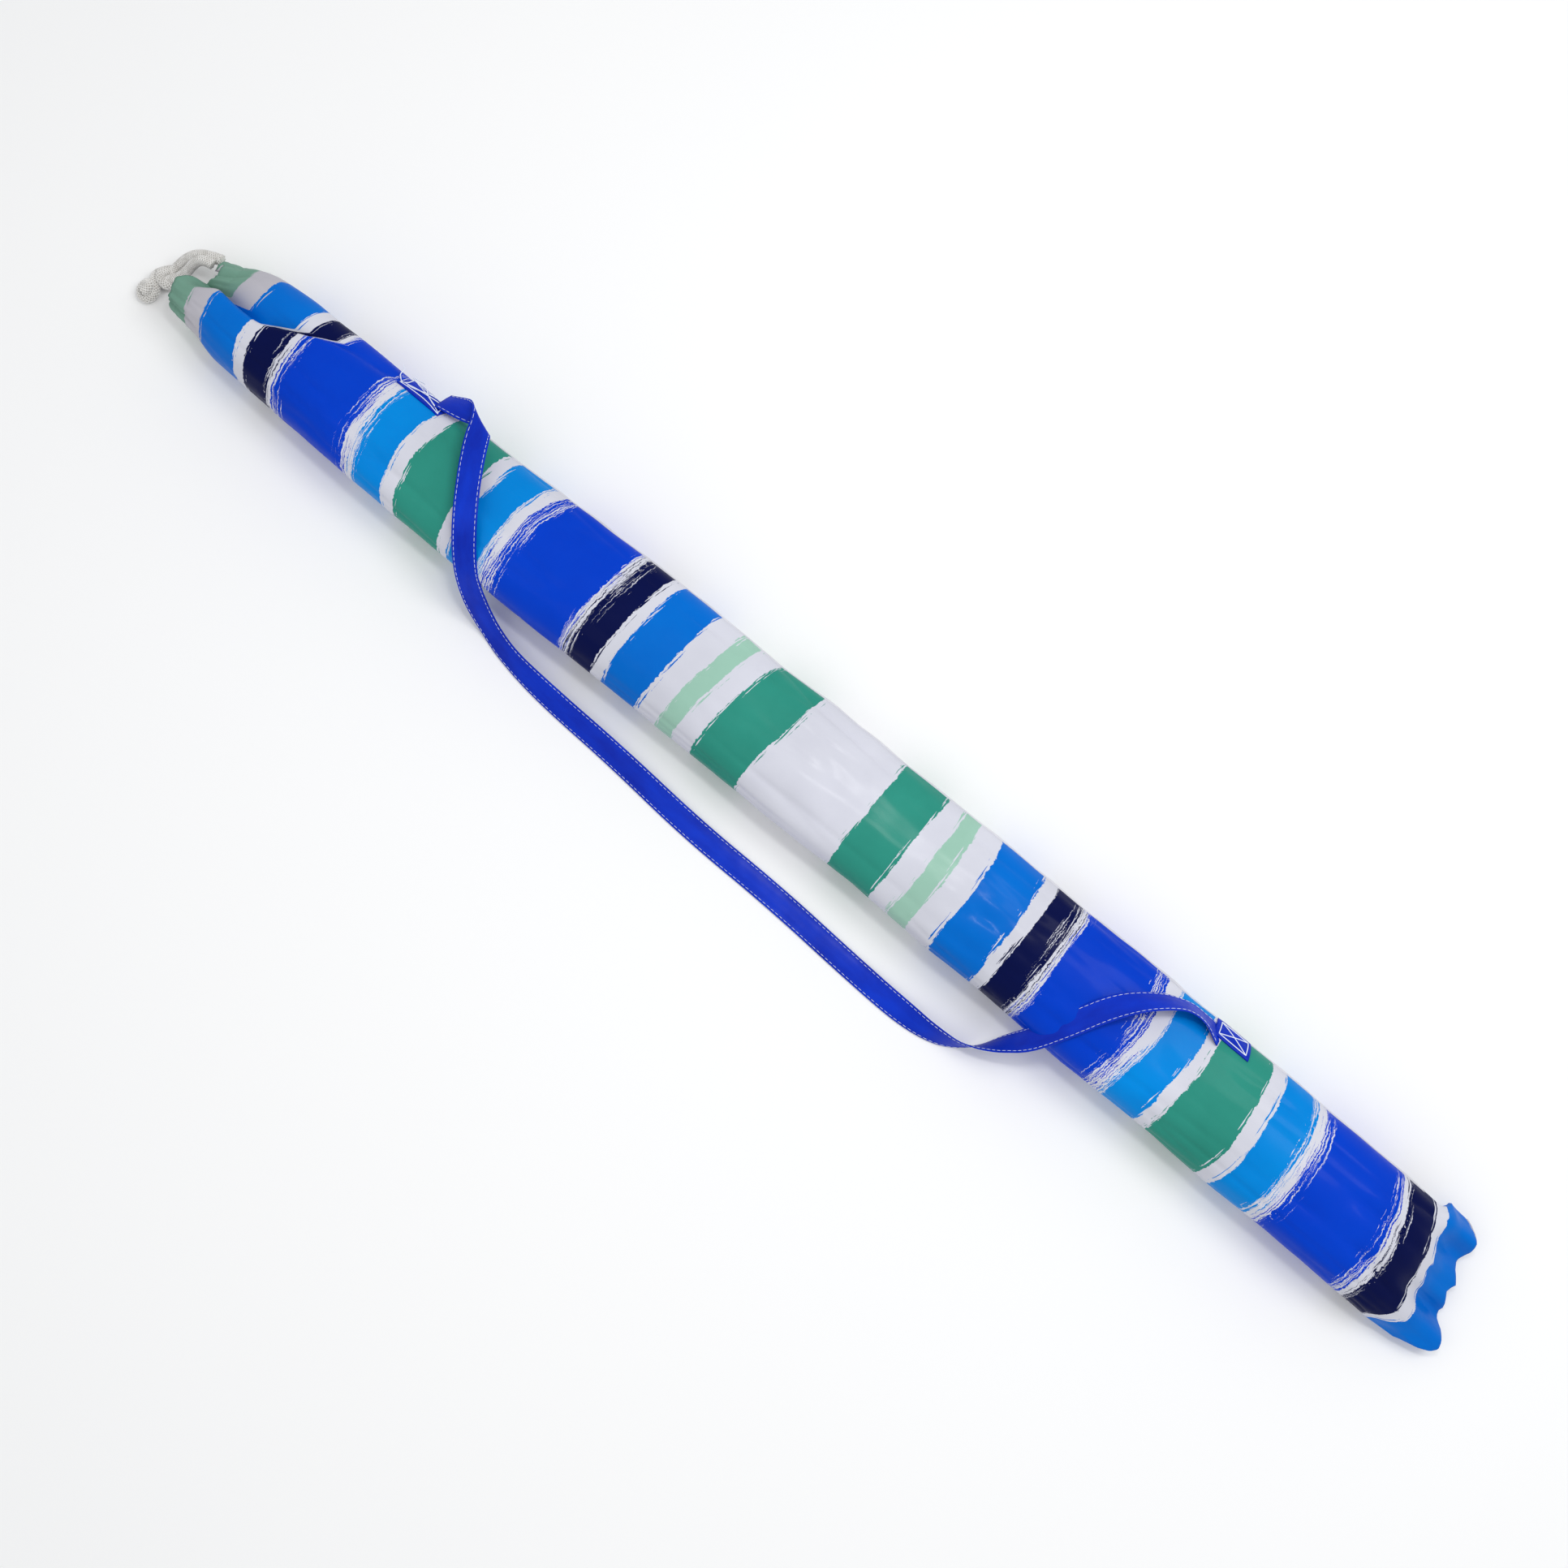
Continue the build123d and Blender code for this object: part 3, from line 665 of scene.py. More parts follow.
def grain_and_wear() -> bpy.types.NodeTree:
    """Build the node group of the hard finishes' grain and wear.

    Returns:
        The group, which gives a wear mask, a roughness and a height from a place and a grain.
    """
    shader, given, result = node_group(
        "grain_and_wear",
        [("Place", "NodeSocketVector"), ("Grain", "NodeSocketFloat"), ("Smoothest", "NodeSocketFloat"),
         ("Roughest", "NodeSocketFloat")],
        [("Wear", "NodeSocketFloat"), ("Roughness", "NodeSocketFloat"), ("Height", "NodeSocketFloat")],
    )
    place, scale, smoothest, roughest = given.outputs[:4]
    grain = shader.noise(place, scale, 4, 0.6)
    patches = shader.noise(place, shader.math("MULTIPLY", scale, 0.12), 4, 0.65)
    shader.tree.links.new(shader.range(patches, 0.45, 0.75, 0, 1), result.inputs[0])
    shader.tree.links.new(shader.range(grain, 0.3, 0.7, smoothest, roughest), result.inputs[1])
    shader.tree.links.new(grain, result.inputs[2])
    return shader.tree


@dataclass(frozen=True)
class HardFinish:
    """A hard part's finish: paint, plastic, rod or metal.

    The grain is stretched along X, the direction in which tubes and rods are drawn.
    """

    name: str
    base: tuple[float, float, float, float]
    worn: tuple[float, float, float, float]
    metallic: float = 0.0
    roughness: float = 0.4
    spread: float = 0.08
    grain: float = 300.0
    stretch: float = 1.0
    relief: float = 0.1
    coat: float = 0.0

    def build(self, grain_group: bpy.types.NodeTree) -> bpy.types.Material:
        """Build the finish's material.

        Args:
            grain_group: The shared group of grain and wear.

        Returns:
            The material.
        """
        material, shader, principled = new_material(
            self.name, Metallic=self.metallic, Coat_Weight=self.coat, Coat_Roughness=0.15,
        )
        place = shader.add("ShaderNodeTexCoord").outputs["Object"]
        mapped = shader.add("ShaderNodeMapping", {"Vector": place, "Scale": (self.stretch, 1, 1)}).outputs[0]
        sockets = {"Place": mapped, "Grain": self.grain, "Smoothest": self.roughness - self.spread,
                   "Roughest": self.roughness + self.spread}
        wear, rough, grain = shader.add("ShaderNodeGroup", sockets, node_tree=grain_group).outputs[:3]
        shader.tree.links.new(shader.mix(wear, self.base, self.worn), principled.inputs["Base Color"])
        shader.tree.links.new(rough, principled.inputs["Roughness"])
        shader.tree.links.new(shader.bump(grain, self.relief, 0.0002), principled.inputs["Normal"])
        return material


HARD_FINISHES = {
    "painted_pole": HardFinish("painted_pole", srgb(232, 234, 236), srgb(214, 217, 220), roughness=0.28,
                               grain=420, relief=0.12, coat=0.3),
    "fibreglass": HardFinish("fibreglass", srgb(226, 228, 222), srgb(204, 208, 200), roughness=0.38,
                             grain=900, stretch=0.05, relief=0.25),
    "plated_steel": HardFinish("plated_steel", (0.62, 0.63, 0.64, 1), (0.5, 0.51, 0.53, 1), metallic=1.0,
                               roughness=0.32, grain=1200, stretch=0.08, relief=0.15),
    "white_plastic": HardFinish("white_plastic", srgb(234, 235, 236), srgb(224, 225, 228), roughness=0.45,
                                grain=1500, relief=0.2),
    "blue_plastic": HardFinish("blue_plastic", srgb(10, 62, 176), srgb(16, 74, 190), roughness=0.42,
                               grain=1500, relief=0.2),
}


@dataclass
class Finishes:
    """Every material, each built once."""

    cloth: bpy.types.Material = field(init=False)
    reverse: bpy.types.Material = field(init=False)
    strap: bpy.types.Material = field(init=False)
    rope: bpy.types.Material = field(init=False)
    thread: bpy.types.Material = field(init=False)
    hard: dict[str, bpy.types.Material] = field(init=False)

    def __post_init__(self) -> None:
        """Build the materials."""
        self.cloth, self.reverse = PrintedCloth().build()
        self.strap = StrapCloth().build()
        self.rope = RopeFibre().build()
        self.thread = Thread().build()
        grain_group = grain_and_wear()
        self.hard = {slot: finish.build(grain_group) for slot, finish in HARD_FINISHES.items()}

    def dress(self, piece: bpy.types.Object, *materials: bpy.types.Material) -> None:
        """Give a piece its materials, in slot order."""
        piece.data.materials.clear()
        for material in materials:
            piece.data.materials.append(material)

    def dress_cad(self, nodes: dict[str, bpy.types.Object], record: dict) -> None:
        """Give each CAD node the finish that its record slot names.

        Args:
            nodes: The CAD objects by name.
            record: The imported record.
        """
        for part in record["subparts"]:
            finish = self.hard.get(part["material_slot"])
            if finish is None:
                continue
            piece = nodes[part["node"]]
            if not piece.material_slots:
                piece.data.materials.append(finish)
            for slot in piece.material_slots:
                slot.link = "OBJECT"
                slot.material = finish


# ------------------------------------------------------------------ the bag
@dataclass(frozen=True)
class Pleat:
    """A gather of the mouth: way round and width in degrees, depth and reach along the bag."""

    angle: float
    depth: float
    width: float
    reach: float


@dataclass(frozen=True)
class Crease:
    """A soft crease on the bag's top, from one place to another. Sizes are in millimetres."""

    start: tuple[float, float]
    end: tuple[float, float]
    width: float
    depth: float


@dataclass
class CarryBag:
    """The gathered, stuffed bag, from its drawstring mouth to its sewn end. Sizes are in millimetres."""

    front: float = -640.0
    rear: float = 640.0
    print_middle: float = 23.0
    cloth: float = 0.7
    floor: float = 0.9
    girth: float = 274.0
    fullness: float = 0.84                # exponent of the oval, below 1 for a boxier one
    columns: int = 120
    seam_run: tuple = (-425.0, 572.0)
    seam_angle: float = 14.0
    seam_radius: float = 1.1
    gather_depth: float = 0.9             # the fine gathers round the mouth
    hem_depth: float = 0.8                # the stitched groove of the hem
    hem_place: float = 21.0               # from the front
    fold_open: float = 13.0               # half-width of the deep fold's steep side at the rim, in degrees
    fold_shut: float = 5.0                # the same further along
    lower_edge: tuple = (
        (-640, -37), (-608, -40), (-570, -46), (-530, -47), (-440, -50), (-324, -51), (-200, -49.5),
        (-31, -47.5), (66, -46.5), (200, -48), (355, -49), (433, -49.5), (540, -51), (600, -51), (640, -49),
    )
    upper_edge: tuple = (
        (-640, 23), (-620, 29), (-600, 35), (-570, 40), (-530, 43), (-440, 42), (-324, 46), (-200, 49.5),
        (-31, 52), (66, 53), (200, 53), (355, 53), (433, 52), (540, 50), (586, 49), (610, 58), (640, 57),
    )
    top: tuple = (
        (-640, 55), (-608, 60), (-570, 64.5), (-530, 67), (-440, 68), (-324, 68), (-200, 69), (-31, 69.5),
        (66, 68), (200, 69), (355, 69.5), (433, 69), (530, 67), (560, 63), (585, 54), (605, 40), (622, 25),
        (640, 15),
    )
    bottom: tuple = ((-640, 2), (-600, 0.5), (-560, 0), (570, 0), (600, 1.5), (620, 6), (640, 12))
    valley: tuple = (                     # the deep fold's way along the top, as y at each x
        (-640, 2), (-626, -2), (-608, -3), (-578, -4), (-560, -3), (-535, 6), (-519, 13), (-504, 20),
        (-470, 31),
    )
    valley_depth: tuple = (
        (-640, 19), (-612, 21), (-585, 18), (-560, 14.5), (-535, 10), (-510, 6), (-480, 1.6), (-455, 0),
    )
    print_slip: tuple = (                 # how much less far along the print is behind the deep fold
        (-640, 16), (-620, 19), (-600, 24), (-580, 27), (-545, 30), (-510, 28), (-470, 14), (-430, 0),
    )
    print_slant: tuple = (                # how much further along the print is at +Y than at -Y
        (-640, 0), (-430, 0), (-250, 4), (-50, 11), (20, 6), (70, 0), (150, -3), (330, 0), (430, -5),
        (480, -12), (560, -14), (640, -4),
    )
    print_shift: tuple = ((-640, 0), (30, 0), (70, 5), (170, 6), (215, 1), (560, 0), (600, -7), (640, -7))
    print_bow: tuple = ((-640, 9), (-430, 10), (-250, 4), (0, 0), (330, -3), (500, -7), (640, -7))
    rim: tuple = (                        # how far behind the front the rim starts, by degrees round
        (-180, 12), (-140, 16), (-95, 16), (-50, 12), (-25, 10), (0, 14), (28, 25), (60, 27), (84, 19),
        (92, 12), (104, 9), (125, 10), (150, 11), (165, 10), (180, 12),
    )
    end_edge: tuple = (                   # the sewn end's edge, as x at each y
        (-55, 610), (-48, 624), (-44, 641), (-40, 650), (-35, 654), (-29, 652), (-21, 648), (-16, 643),
        (-11, 640), (-7, 640), (-3, 637), (2, 633), (6, 633), (11, 637), (15, 634), (21, 629), (27, 627),
        (33, 629), (38, 630), (45, 628), (51, 624), (55, 620), (59, 612),
    )
    pleats: tuple[Pleat, ...] = (
        Pleat(12, 9, 9, 75), Pleat(48, 5, 8, 60), Pleat(-32, 7, 8, 50), Pleat(-75, 6, 8, 45),
        Pleat(-120, 7, 9, 55), Pleat(-160, 6, 8, 50), Pleat(158, 3.5, 8, 70), Pleat(128, 1.6, 7, 40),
    )
    creases: tuple[Crease, ...] = (
        Crease((-40, 44), (85, 33), 6, 2.2), Crease((-500, 22), (-425, 34), 9, 2.4),
        Crease((-505, -22), (-430, -4), 8, 1.4), Crease((-462, 6), (-418, 22), 7, 1.3),
        Crease((-440, -34), (-350, -26), 8, 1.2), Crease((-400, 30), (-345, 8), 8, 1.6),
        Crease((-300, 22), (-225, 38), 9, 1.4), Crease((-235, -18), (-185, 6), 7, 1.1),
        Crease((-150, 30), (-70, 41), 8, 1.5), Crease((-20, -30), (60, -36), 9, 1.2),
        Crease((120, 38), (230, 40), 8, 1.6), Crease((150, -20), (205, 4), 9, 1.0),
        Crease((260, -34), (350, -30), 9, 1.2), Crease((395, 20), (470, 36), 9, 1.6),
        Crease((430, -30), (520, -18), 9, 1.4), Crease((520, 6), (590, 12), 7, 2.0),
        Crease((545, -20), (600, -30), 6, 2.2), Crease((540, 34), (596, 40), 6, 2.0),
    )

    def rows(self) -> np.ndarray:
        """Give where the mesh's rows lie, close together at the mouth and the sewn end."""
        mouth = np.arange(self.front, -480, 2.4)
        middle = np.arange(-480, 550, 5.2)
        end = np.linspace(550, self.rear, 50)
        return np.concatenate([mouth, middle, end])

    def valley_angle(self, x: np.ndarray) -> np.ndarray:
        """Give the deep fold's way round, in radians from +Y, at each x."""
        low, high = through(x, self.lower_edge), through(x, self.upper_edge)
        share = (through(x, self.valley) - (low + high) / 2) / ((high - low) / 2)
        cosine = np.sign(share) * np.abs(share) ** (1 / self.fullness)
        return np.arccos(np.clip(cosine, -0.99, 0.99))

    def wrinkles(self, x: np.ndarray, y: np.ndarray, angle: np.ndarray) -> np.ndarray:
        """Give how far the cloth sinks below the smooth bag.

        Args:
            x: Places along the bag.
            y: Places across it.
            angle: Ways round it, in radians.

        Returns:
            Depths, in millimetres.
        """
        ring = np.stack([x / 95, 1.1 * np.cos(angle), 1.1 * np.sin(angle)], axis=-1)
        broad = noise_at(ring) * 1.5
        long_way = np.stack([x / 210, 2.6 * np.cos(angle) + 7, 2.6 * np.sin(angle)], axis=-1)
        ridged = (1 - np.abs(noise_at(long_way))) ** 6 * 1.3
        near = np.stack([x / 26, 3.2 * np.cos(angle), 3.2 * np.sin(angle) + 4], axis=-1)
        small = noise_at(near) * 0.45
        depth = broad + ridged + small
        up = np.sin(angle) > -0.2
        for crease in self.creases:
            start, end = np.array(crease.start), np.array(crease.end)
            way = (end - start) / np.linalg.norm(end - start)
            along = (x - start[0]) * way[0] + (y - start[1]) * way[1]
            aside = np.abs((x - start[0]) * -way[1] + (y - start[1]) * way[0])
            share = along / np.linalg.norm(end - start)
            fade = smooth(share, -0.15, 0.3) * (1 - smooth(share, 0.7, 1.15))
            ridge = crease.depth * 0.5 * np.exp(-(((aside - 1.6 * crease.width) / crease.width) ** 2))
            depth = depth + up * fade * (crease.depth * np.exp(-aside / (0.5 * crease.width)) - ridge)
        return depth

    def surface(self, x: np.ndarray, angle: np.ndarray) -> np.ndarray:
        """Give points of the bag's outside.

        Args:
            x: Places along the bag, in millimetres.
            angle: Ways round it, in radians from +Y towards +Z.

        Returns:
            The points, in millimetres, on a new last axis.
        """
        low, high = through(x, self.lower_edge), through(x, self.upper_edge)
        roof, base = through(x, self.top), through(x, self.bottom)
        half_width, half_height = (high - low) / 2, (roof - base) / 2
        cosine, sine = np.cos(angle), np.sin(angle)
        y = (low + high) / 2 + half_width * np.sign(cosine) * np.abs(cosine) ** self.fullness
        z = (roof + base) / 2 + half_height * np.sign(sine) * np.abs(sine) ** self.fullness
        lean = np.hypot(cosine / half_width, sine / half_height)
        out_y, out_z = cosine / half_width / lean, sine / half_height / lean
        turn = np.mod(angle - self.valley_angle(x) + math.pi, 2 * math.pi) - math.pi
        degrees = np.degrees(turn)
        behind = x - self.front
        parted = smooth(behind, 4, 42)
        fold_width = self.fold_open - (self.fold_open - self.fold_shut) * parted
        steep = np.exp(-((degrees / fold_width) ** 2))
        gentle = np.exp(-np.abs(degrees) / 22)
        depth = through(x, self.valley_depth)
        sink = depth * np.where(degrees > 0, steep, gentle)
        lip = 0.6 * depth * parted * np.where(degrees > 0, np.exp(-degrees / 16) * (1 - steep), 0)
        way = np.degrees(np.mod(angle + math.pi, 2 * math.pi) - math.pi)
        for pleat in self.pleats:
            off = np.mod(way - pleat.angle + 180, 360) - 180
            fade = (1 - smooth(behind, 0, pleat.reach)) ** 1.2
            sink = sink + pleat.depth * fade * np.exp(-((off / pleat.width) ** 2))
        gather = (1 - smooth(behind, 14, 46)) * (0.7 + 0.3 * np.sin(angle * 3))
        sink = sink + self.gather_depth * gather * np.sin(angle * 26 + 1.5 * np.sin(angle * 4 + 1))
        sink = sink + self.hem_depth * np.exp(-(((behind - self.hem_place) / 1.6) ** 2))
        calm = 1 - 0.75 * smooth(x, 590, self.rear)
        sink = sink + calm * self.wrinkles(x, y, angle)
        y = y - out_y * sink + lip
        z = z - out_z * sink + 0.25 * lip
        loose = 1 - smooth(behind, 0, 70)
        x_out = x + loose * np.interp(way, *zip(*self.rim))
        flat = smooth(x, 575, self.rear)
        x_out = x_out + flat * (np.interp(y, *zip(*self.end_edge)) - self.rear)
        ripple = 4.5 * np.sin(y / 6.6 + 0.7) + 2.6 * np.sin(y / 3.7 + 2.2) + 2.0 * np.sin(y / 15 - 1)
        z = z + smooth(x, 560, self.rear) ** 1.3 * ripple
        floor = self.floor + 0.6 * np.maximum(np.sin(x / 31) * np.cos(y / 9), 0)
        z = np.maximum(z, floor)
        return np.stack(np.broadcast_arrays(x_out, y, z), axis=-1)

    def cloth_place(self, x: np.ndarray, y: np.ndarray, angle: np.ndarray) -> np.ndarray:
        """Give where the print lies on the bag.

        Args:
            x: Places along the bag, in millimetres.
            y: Places across it.
            angle: Ways round it, in radians.

        Returns:
            The place along the print, from its middle, in millimetres.
        """
        turn = np.degrees(np.mod(angle - self.valley_angle(x) + math.pi, 2 * math.pi) - math.pi)
        behind = (1 - smooth(turn, -5, 1)) * smooth(turn, -178, -120)
        slip = through(x, self.print_slip) * behind
        across = y / 50
        slant = through(x, self.print_slant) * across / 2
        bow = through(x, self.print_bow) * across**2
        return x + through(x, self.print_shift) - slip - slant - bow - self.print_middle

    def build(self, finishes: Finishes) -> bpy.types.Object:
        """Build and dress the bag.

        Args:
            finishes: The materials.

        Returns:
            The bag's object.
        """
        rows = self.rows()
        step = np.linspace(-1, 1, self.columns, endpoint=False)
        crowd = 0.24 + 0.76 * smooth(rows, -520, -440)[:, None]
        turn = math.pi * (crowd * step + (1 - crowd) * step**3)
        x = np.broadcast_to(rows[:, None], turn.shape)
        angle = self.valley_angle(rows)[:, None] + turn
        grid = self.surface(x, angle)
        hems = np.abs(np.diff(np.concatenate([grid, grid[:, :1]], axis=1), axis=1))
        around = np.cumsum(np.linalg.norm(hems[..., 1:], axis=-1), axis=1)
        along = self.cloth_place(x, grid[..., 1], angle)
        along = np.concatenate([along, along[:, :1]], axis=1)
        around = np.concatenate([np.zeros((len(rows), 1)), around], axis=1)
        piece = sheet_mesh("carry_bag", grid * MM, np.stack([along, around], axis=-1) * MM, wrap=True)
        self.sew_end(piece)
        finishes.dress(piece, finishes.cloth, finishes.reverse)
        thicken(piece, self.cloth * MM, lining=True)
        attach(piece, "bag")
        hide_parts("bag_body", "bag_mouth")
        return piece

    def seam(self, finishes: Finishes) -> bpy.types.Object:
        """Build and dress the welted seam along the bag's far side.

        Args:
            finishes: The materials.

        Returns:
            The seam's object.
        """
        x = np.arange(self.seam_run[0], self.seam_run[1], 3.5)
        angle = np.radians(self.seam_angle + 1.6 * np.sin(x / 47) + 1.1 * np.sin(x / 19 + 1))
        line = self.surface(x, angle)

        def swell(length: np.ndarray, way: np.ndarray) -> np.ndarray:
            """Give the seam's radius along its length, in metres."""
            return MM * (self.seam_radius + 0.25 * np.sin(length / MM / 9) + 0 * way)
        welt = tube_mesh("bag_seam", line * MM, swell, 8)
        finishes.dress(welt, finishes.reverse)
        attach(welt, "bag")
        return welt

    def sew_end(self, piece: bpy.types.Object) -> None:
        """Close the flat end with a seam of the last row's own points."""
        count = len(piece.data.vertices)
        ring = range(count - self.columns, count)
        choose(piece)
        bpy.ops.object.mode_set(mode="EDIT")
        bpy.ops.mesh.select_all(action="DESELECT")
        bpy.ops.object.mode_set(mode="OBJECT")
        for index in ring:
            piece.data.vertices[index].select = True
        bpy.ops.object.mode_set(mode="EDIT")
        bpy.ops.mesh.select_mode(type="VERT")
        bpy.ops.mesh.edge_face_add()
        bpy.ops.mesh.quads_convert_to_tris()
        bpy.ops.object.mode_set(mode="OBJECT")
        recalculate(piece)


# ------------------------------------------------------------------ the shoulder strap
@dataclass(frozen=True)
class Roll:
    """How the strap lies at a point of its route: its turn about its own line, in degrees.

    At 0 its second edge is on the left of its heading, at 90 on top and at 180 on the right.
    """

    degrees: float


@dataclass
class ShoulderStrap:
    """The folded blue strap and its stitching. Sizes are in millimetres."""

    width: float = 20.0
    thickness: float = 1.5
    length: float = 945.0
    route: tuple = (
        (-400, 42, 54), (-382, 46, 62), (-360, 49, 71), (-351, 30, 77), (-332, -1, 79), (-312, -30, 74),
        (-297, -51, 54), (-283, -62, 28), (-264, -70, 9), (-236, -78, 3), (-190, -82, 2.6), (-120, -84, 1.8),
        (-35, -90, 1.6), (50, -90, 1.6), (125, -94, 1.6), (180, -96, 3), (216, -94, 6), (240, -84, 12),
        (257, -66, 26), (270, -52, 46), (284, -25, 67), (299, 4, 79), (317, 24, 81), (338, 39, 75),
        (358, 43, 66), (377, 38, 60),
    )
    lay: tuple = (                        # by index of the route
        (0, Roll(-36)), (1, Roll(-12)), (2, (-12.0, 4.6, 1.0)), (3, Roll(180)), (4, Roll(186)),
        (5, Roll(184)), (6, Roll(196)), (7, Roll(206)), (8, Roll(222)), (9, Roll(222)), (10, Roll(206)),
        (11, Roll(200)), (12, Roll(184)), (13, Roll(180)), (14, Roll(182)), (15, Roll(196)), (16, Roll(232)),
        (17, Roll(268)), (18, Roll(310)), (19, Roll(336)), (20, Roll(346)), (21, Roll(340)), (22, Roll(318)),
        (23, Roll(298)), (24, Roll(294)), (25, Roll(316)),
    )
    stitch: float = 3.4
    stitch_gap: float = 1.0
    seam_inset: float = 1.7
    thread: float = 0.2
    lift: float = 0.6                     # between the strap's lower side and the floor
    sharp_bend: tuple = (1.0, 2.2)        # where the strap doubles over, by index of the route
    bend_width: tuple = (10.0, 13.0)      # half-widths that it may have there

    def frames(self) -> tuple[np.ndarray, np.ndarray]:
        """Give the strap's middle line and its half-width vectors.

        Returns:
            Points and vectors, in millimetres.
        """
        line = route_points("strap_route", self.route, 24) / MM
        spans = len(self.route) - 2
        place = np.linspace(0, spans, len(line))
        tangents = np.gradient(line, axis=0)
        tangents /= np.linalg.norm(tangents, axis=1)[:, None]
        left = np.stack([-tangents[:, 1], tangents[:, 0], np.zeros(len(line))], axis=1)
        left /= np.linalg.norm(left, axis=1)[:, None]
        above = np.cross(tangents, left)
        knots, keys = [], []
        for index, lay in self.lay:
            knot = min(max(index - 0.5, 0), spans)
            near = int(np.argmin(np.abs(place - knot)))
            if isinstance(lay, Roll):
                turn = math.radians(lay.degrees)
                keys.append((math.cos(turn) * left[near] + math.sin(turn) * above[near]) * self.width / 2)
            else:
                keys.append(np.array(lay))
            knots.append(knot)
        keys = np.array(keys)
        half = np.stack([np.interp(place, knots, keys[:, axis]) for axis in range(3)], axis=1)
        kernel = np.hanning(13) / np.hanning(13).sum()
        padded = np.pad(half, ((6, 6), (0, 0)), mode="edge")
        half = np.stack([np.convolve(padded[:, axis], kernel, "valid") for axis in range(3)], axis=1)
        bent = (place > self.sharp_bend[0]) & (place < self.sharp_bend[1])
        wide = np.clip(np.linalg.norm(half, axis=1), *self.bend_width)
        reach = np.where(bent, wide, self.width / 2)
        half *= (reach / np.linalg.norm(half, axis=1))[:, None]
        line[:, 2] = np.maximum(line[:, 2], np.abs(half[:, 2]) + self.thickness / 2 + self.lift)
        return line, half

    def build(self, finishes: Finishes) -> bpy.types.Object:
        """Build and dress the strap and its stitching.

        Args:
            finishes: The materials.

        Returns:
            The strap's object.
        """
        line, half = self.frames()
        tangents = np.gradient(line, axis=0)
        tangents /= np.linalg.norm(tangents, axis=1)[:, None]
        normals = np.cross(tangents, half)
        normals /= np.linalg.norm(normals, axis=1)[:, None]
        along = np.concatenate([[0], np.cumsum(np.linalg.norm(np.diff(line, axis=0), axis=1))])
        outline = self.outline()
        pucker = 0.18 * np.sin(along / 3.1) + 0.3 * np.sin(along / 17)
        grid = np.stack([
            line + half * across + normals * (up + pucker[:, None] * (1 - abs(across)))
            for across, up in outline
        ], axis=1)
        widths = [self.width * abs(b[0] - a[0]) / 2 for a, b in zip(outline, outline[1:] + outline[:1])]
        around = np.cumsum([0] + widths)
        uv = np.stack(np.meshgrid(along, around, indexing="ij"), axis=-1)
        strap = sheet_mesh("shoulder_strap_cloth", grid * MM, uv * MM, wrap=True)
        self.close_ends(strap)
        finishes.dress(strap, finishes.strap)
        seams = self.seams(line, half, normals, along)
        finishes.dress(seams, finishes.thread)
        for piece in (strap, seams):
            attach(piece, "bag")
        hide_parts("shoulder_strap")
        return strap

    def outline(self) -> list[tuple[float, float]]:
        """Give the strap's section as share of its half-width and height, once round."""
        shares = (-0.97, -0.9, -0.78, -0.5, -0.2, 0.2, 0.5, 0.78, 0.9, 0.97)

        def height(share: float) -> float:
            """Give the strap's half-thickness, thinner where it is stitched."""
            dip = 0.25 * math.exp(-(((abs(share) - 0.78) / 0.06) ** 2))
            return self.thickness / 2 * (1 - 0.5 * abs(share) ** 6) - dip
        upper = [(share, height(share)) for share in shares]
        lower = [(share, -height(share)) for share in reversed(shares)]
        return upper + [(1.0, 0.0)] + lower + [(-1.0, 0.0)]

    def close_ends(self, strap: bpy.types.Object) -> None:
        """Cap the strap's two ends."""
        choose(strap)
        bpy.ops.object.mode_set(mode="EDIT")
        bpy.ops.mesh.select_all(action="DESELECT")
        bpy.ops.mesh.select_non_manifold()
        bpy.ops.mesh.edge_face_add()
        bpy.ops.object.mode_set(mode="OBJECT")
        recalculate(strap)

    def seams(self, line: np.ndarray, half: np.ndarray, normals: np.ndarray,
              along: np.ndarray) -> bpy.types.Object:
        """Sew a row of stitches along both edges, on both faces.

        Args:
            line: The strap's middle line, in millimetres.
            half: Its half-width vectors.
            normals: Its upward vectors.
            along: Lengths along it.

        Returns:
            One object with all the stitches.
        """
        inset = 1 - 2 * self.seam_inset / self.width
        points, faces = [], []
        pitch = self.stitch + self.stitch_gap
        ring = np.linspace(0, 2 * math.pi, 5, endpoint=False)
        for edge in (-inset, inset):
            for side in (-1, 1):
                for start in np.arange(2, along[-1] - pitch, pitch):
                    reach = np.linspace(start, start + self.stitch, 4)
                    row = [np.stack([np.interp(reach, along, source[:, axis]) for axis in range(3)], axis=1)
                           for source in (line, half, normals)]
                    middle = row[0] + row[1] * edge + row[2] * side * (self.thickness / 2 - 0.1)
                    swell = self.thread * np.array([0.35, 1.0, 1.0, 0.35])
                    first = len(points)
                    sideways = row[1] / np.linalg.norm(row[1], axis=1)[:, None]
                    for place, size, wide, up in zip(middle, swell, sideways, row[2]):
                        points += [place + size * (math.cos(a) * wide + math.sin(a) * up) for a in ring]
                    for step in range(3):
                        base = first + 5 * step
                        faces += [(base + k, base + (k + 1) % 5, base + 5 + (k + 1) % 5, base + 5 + k)
                                  for k in range(5)]
                    faces.append(tuple(first + k for k in reversed(range(5))))
                    faces.append(tuple(first + 15 + k for k in range(5)))
        mesh = bpy.data.meshes.new("strap_stitching")
        mesh.from_pydata((np.array(points) * MM).tolist(), [], faces)
        piece = bpy.data.objects.new("strap_stitching", mesh)
        bpy.context.scene.collection.objects.link(piece)
        recalculate(piece)
        mesh.shade_smooth()
        return piece


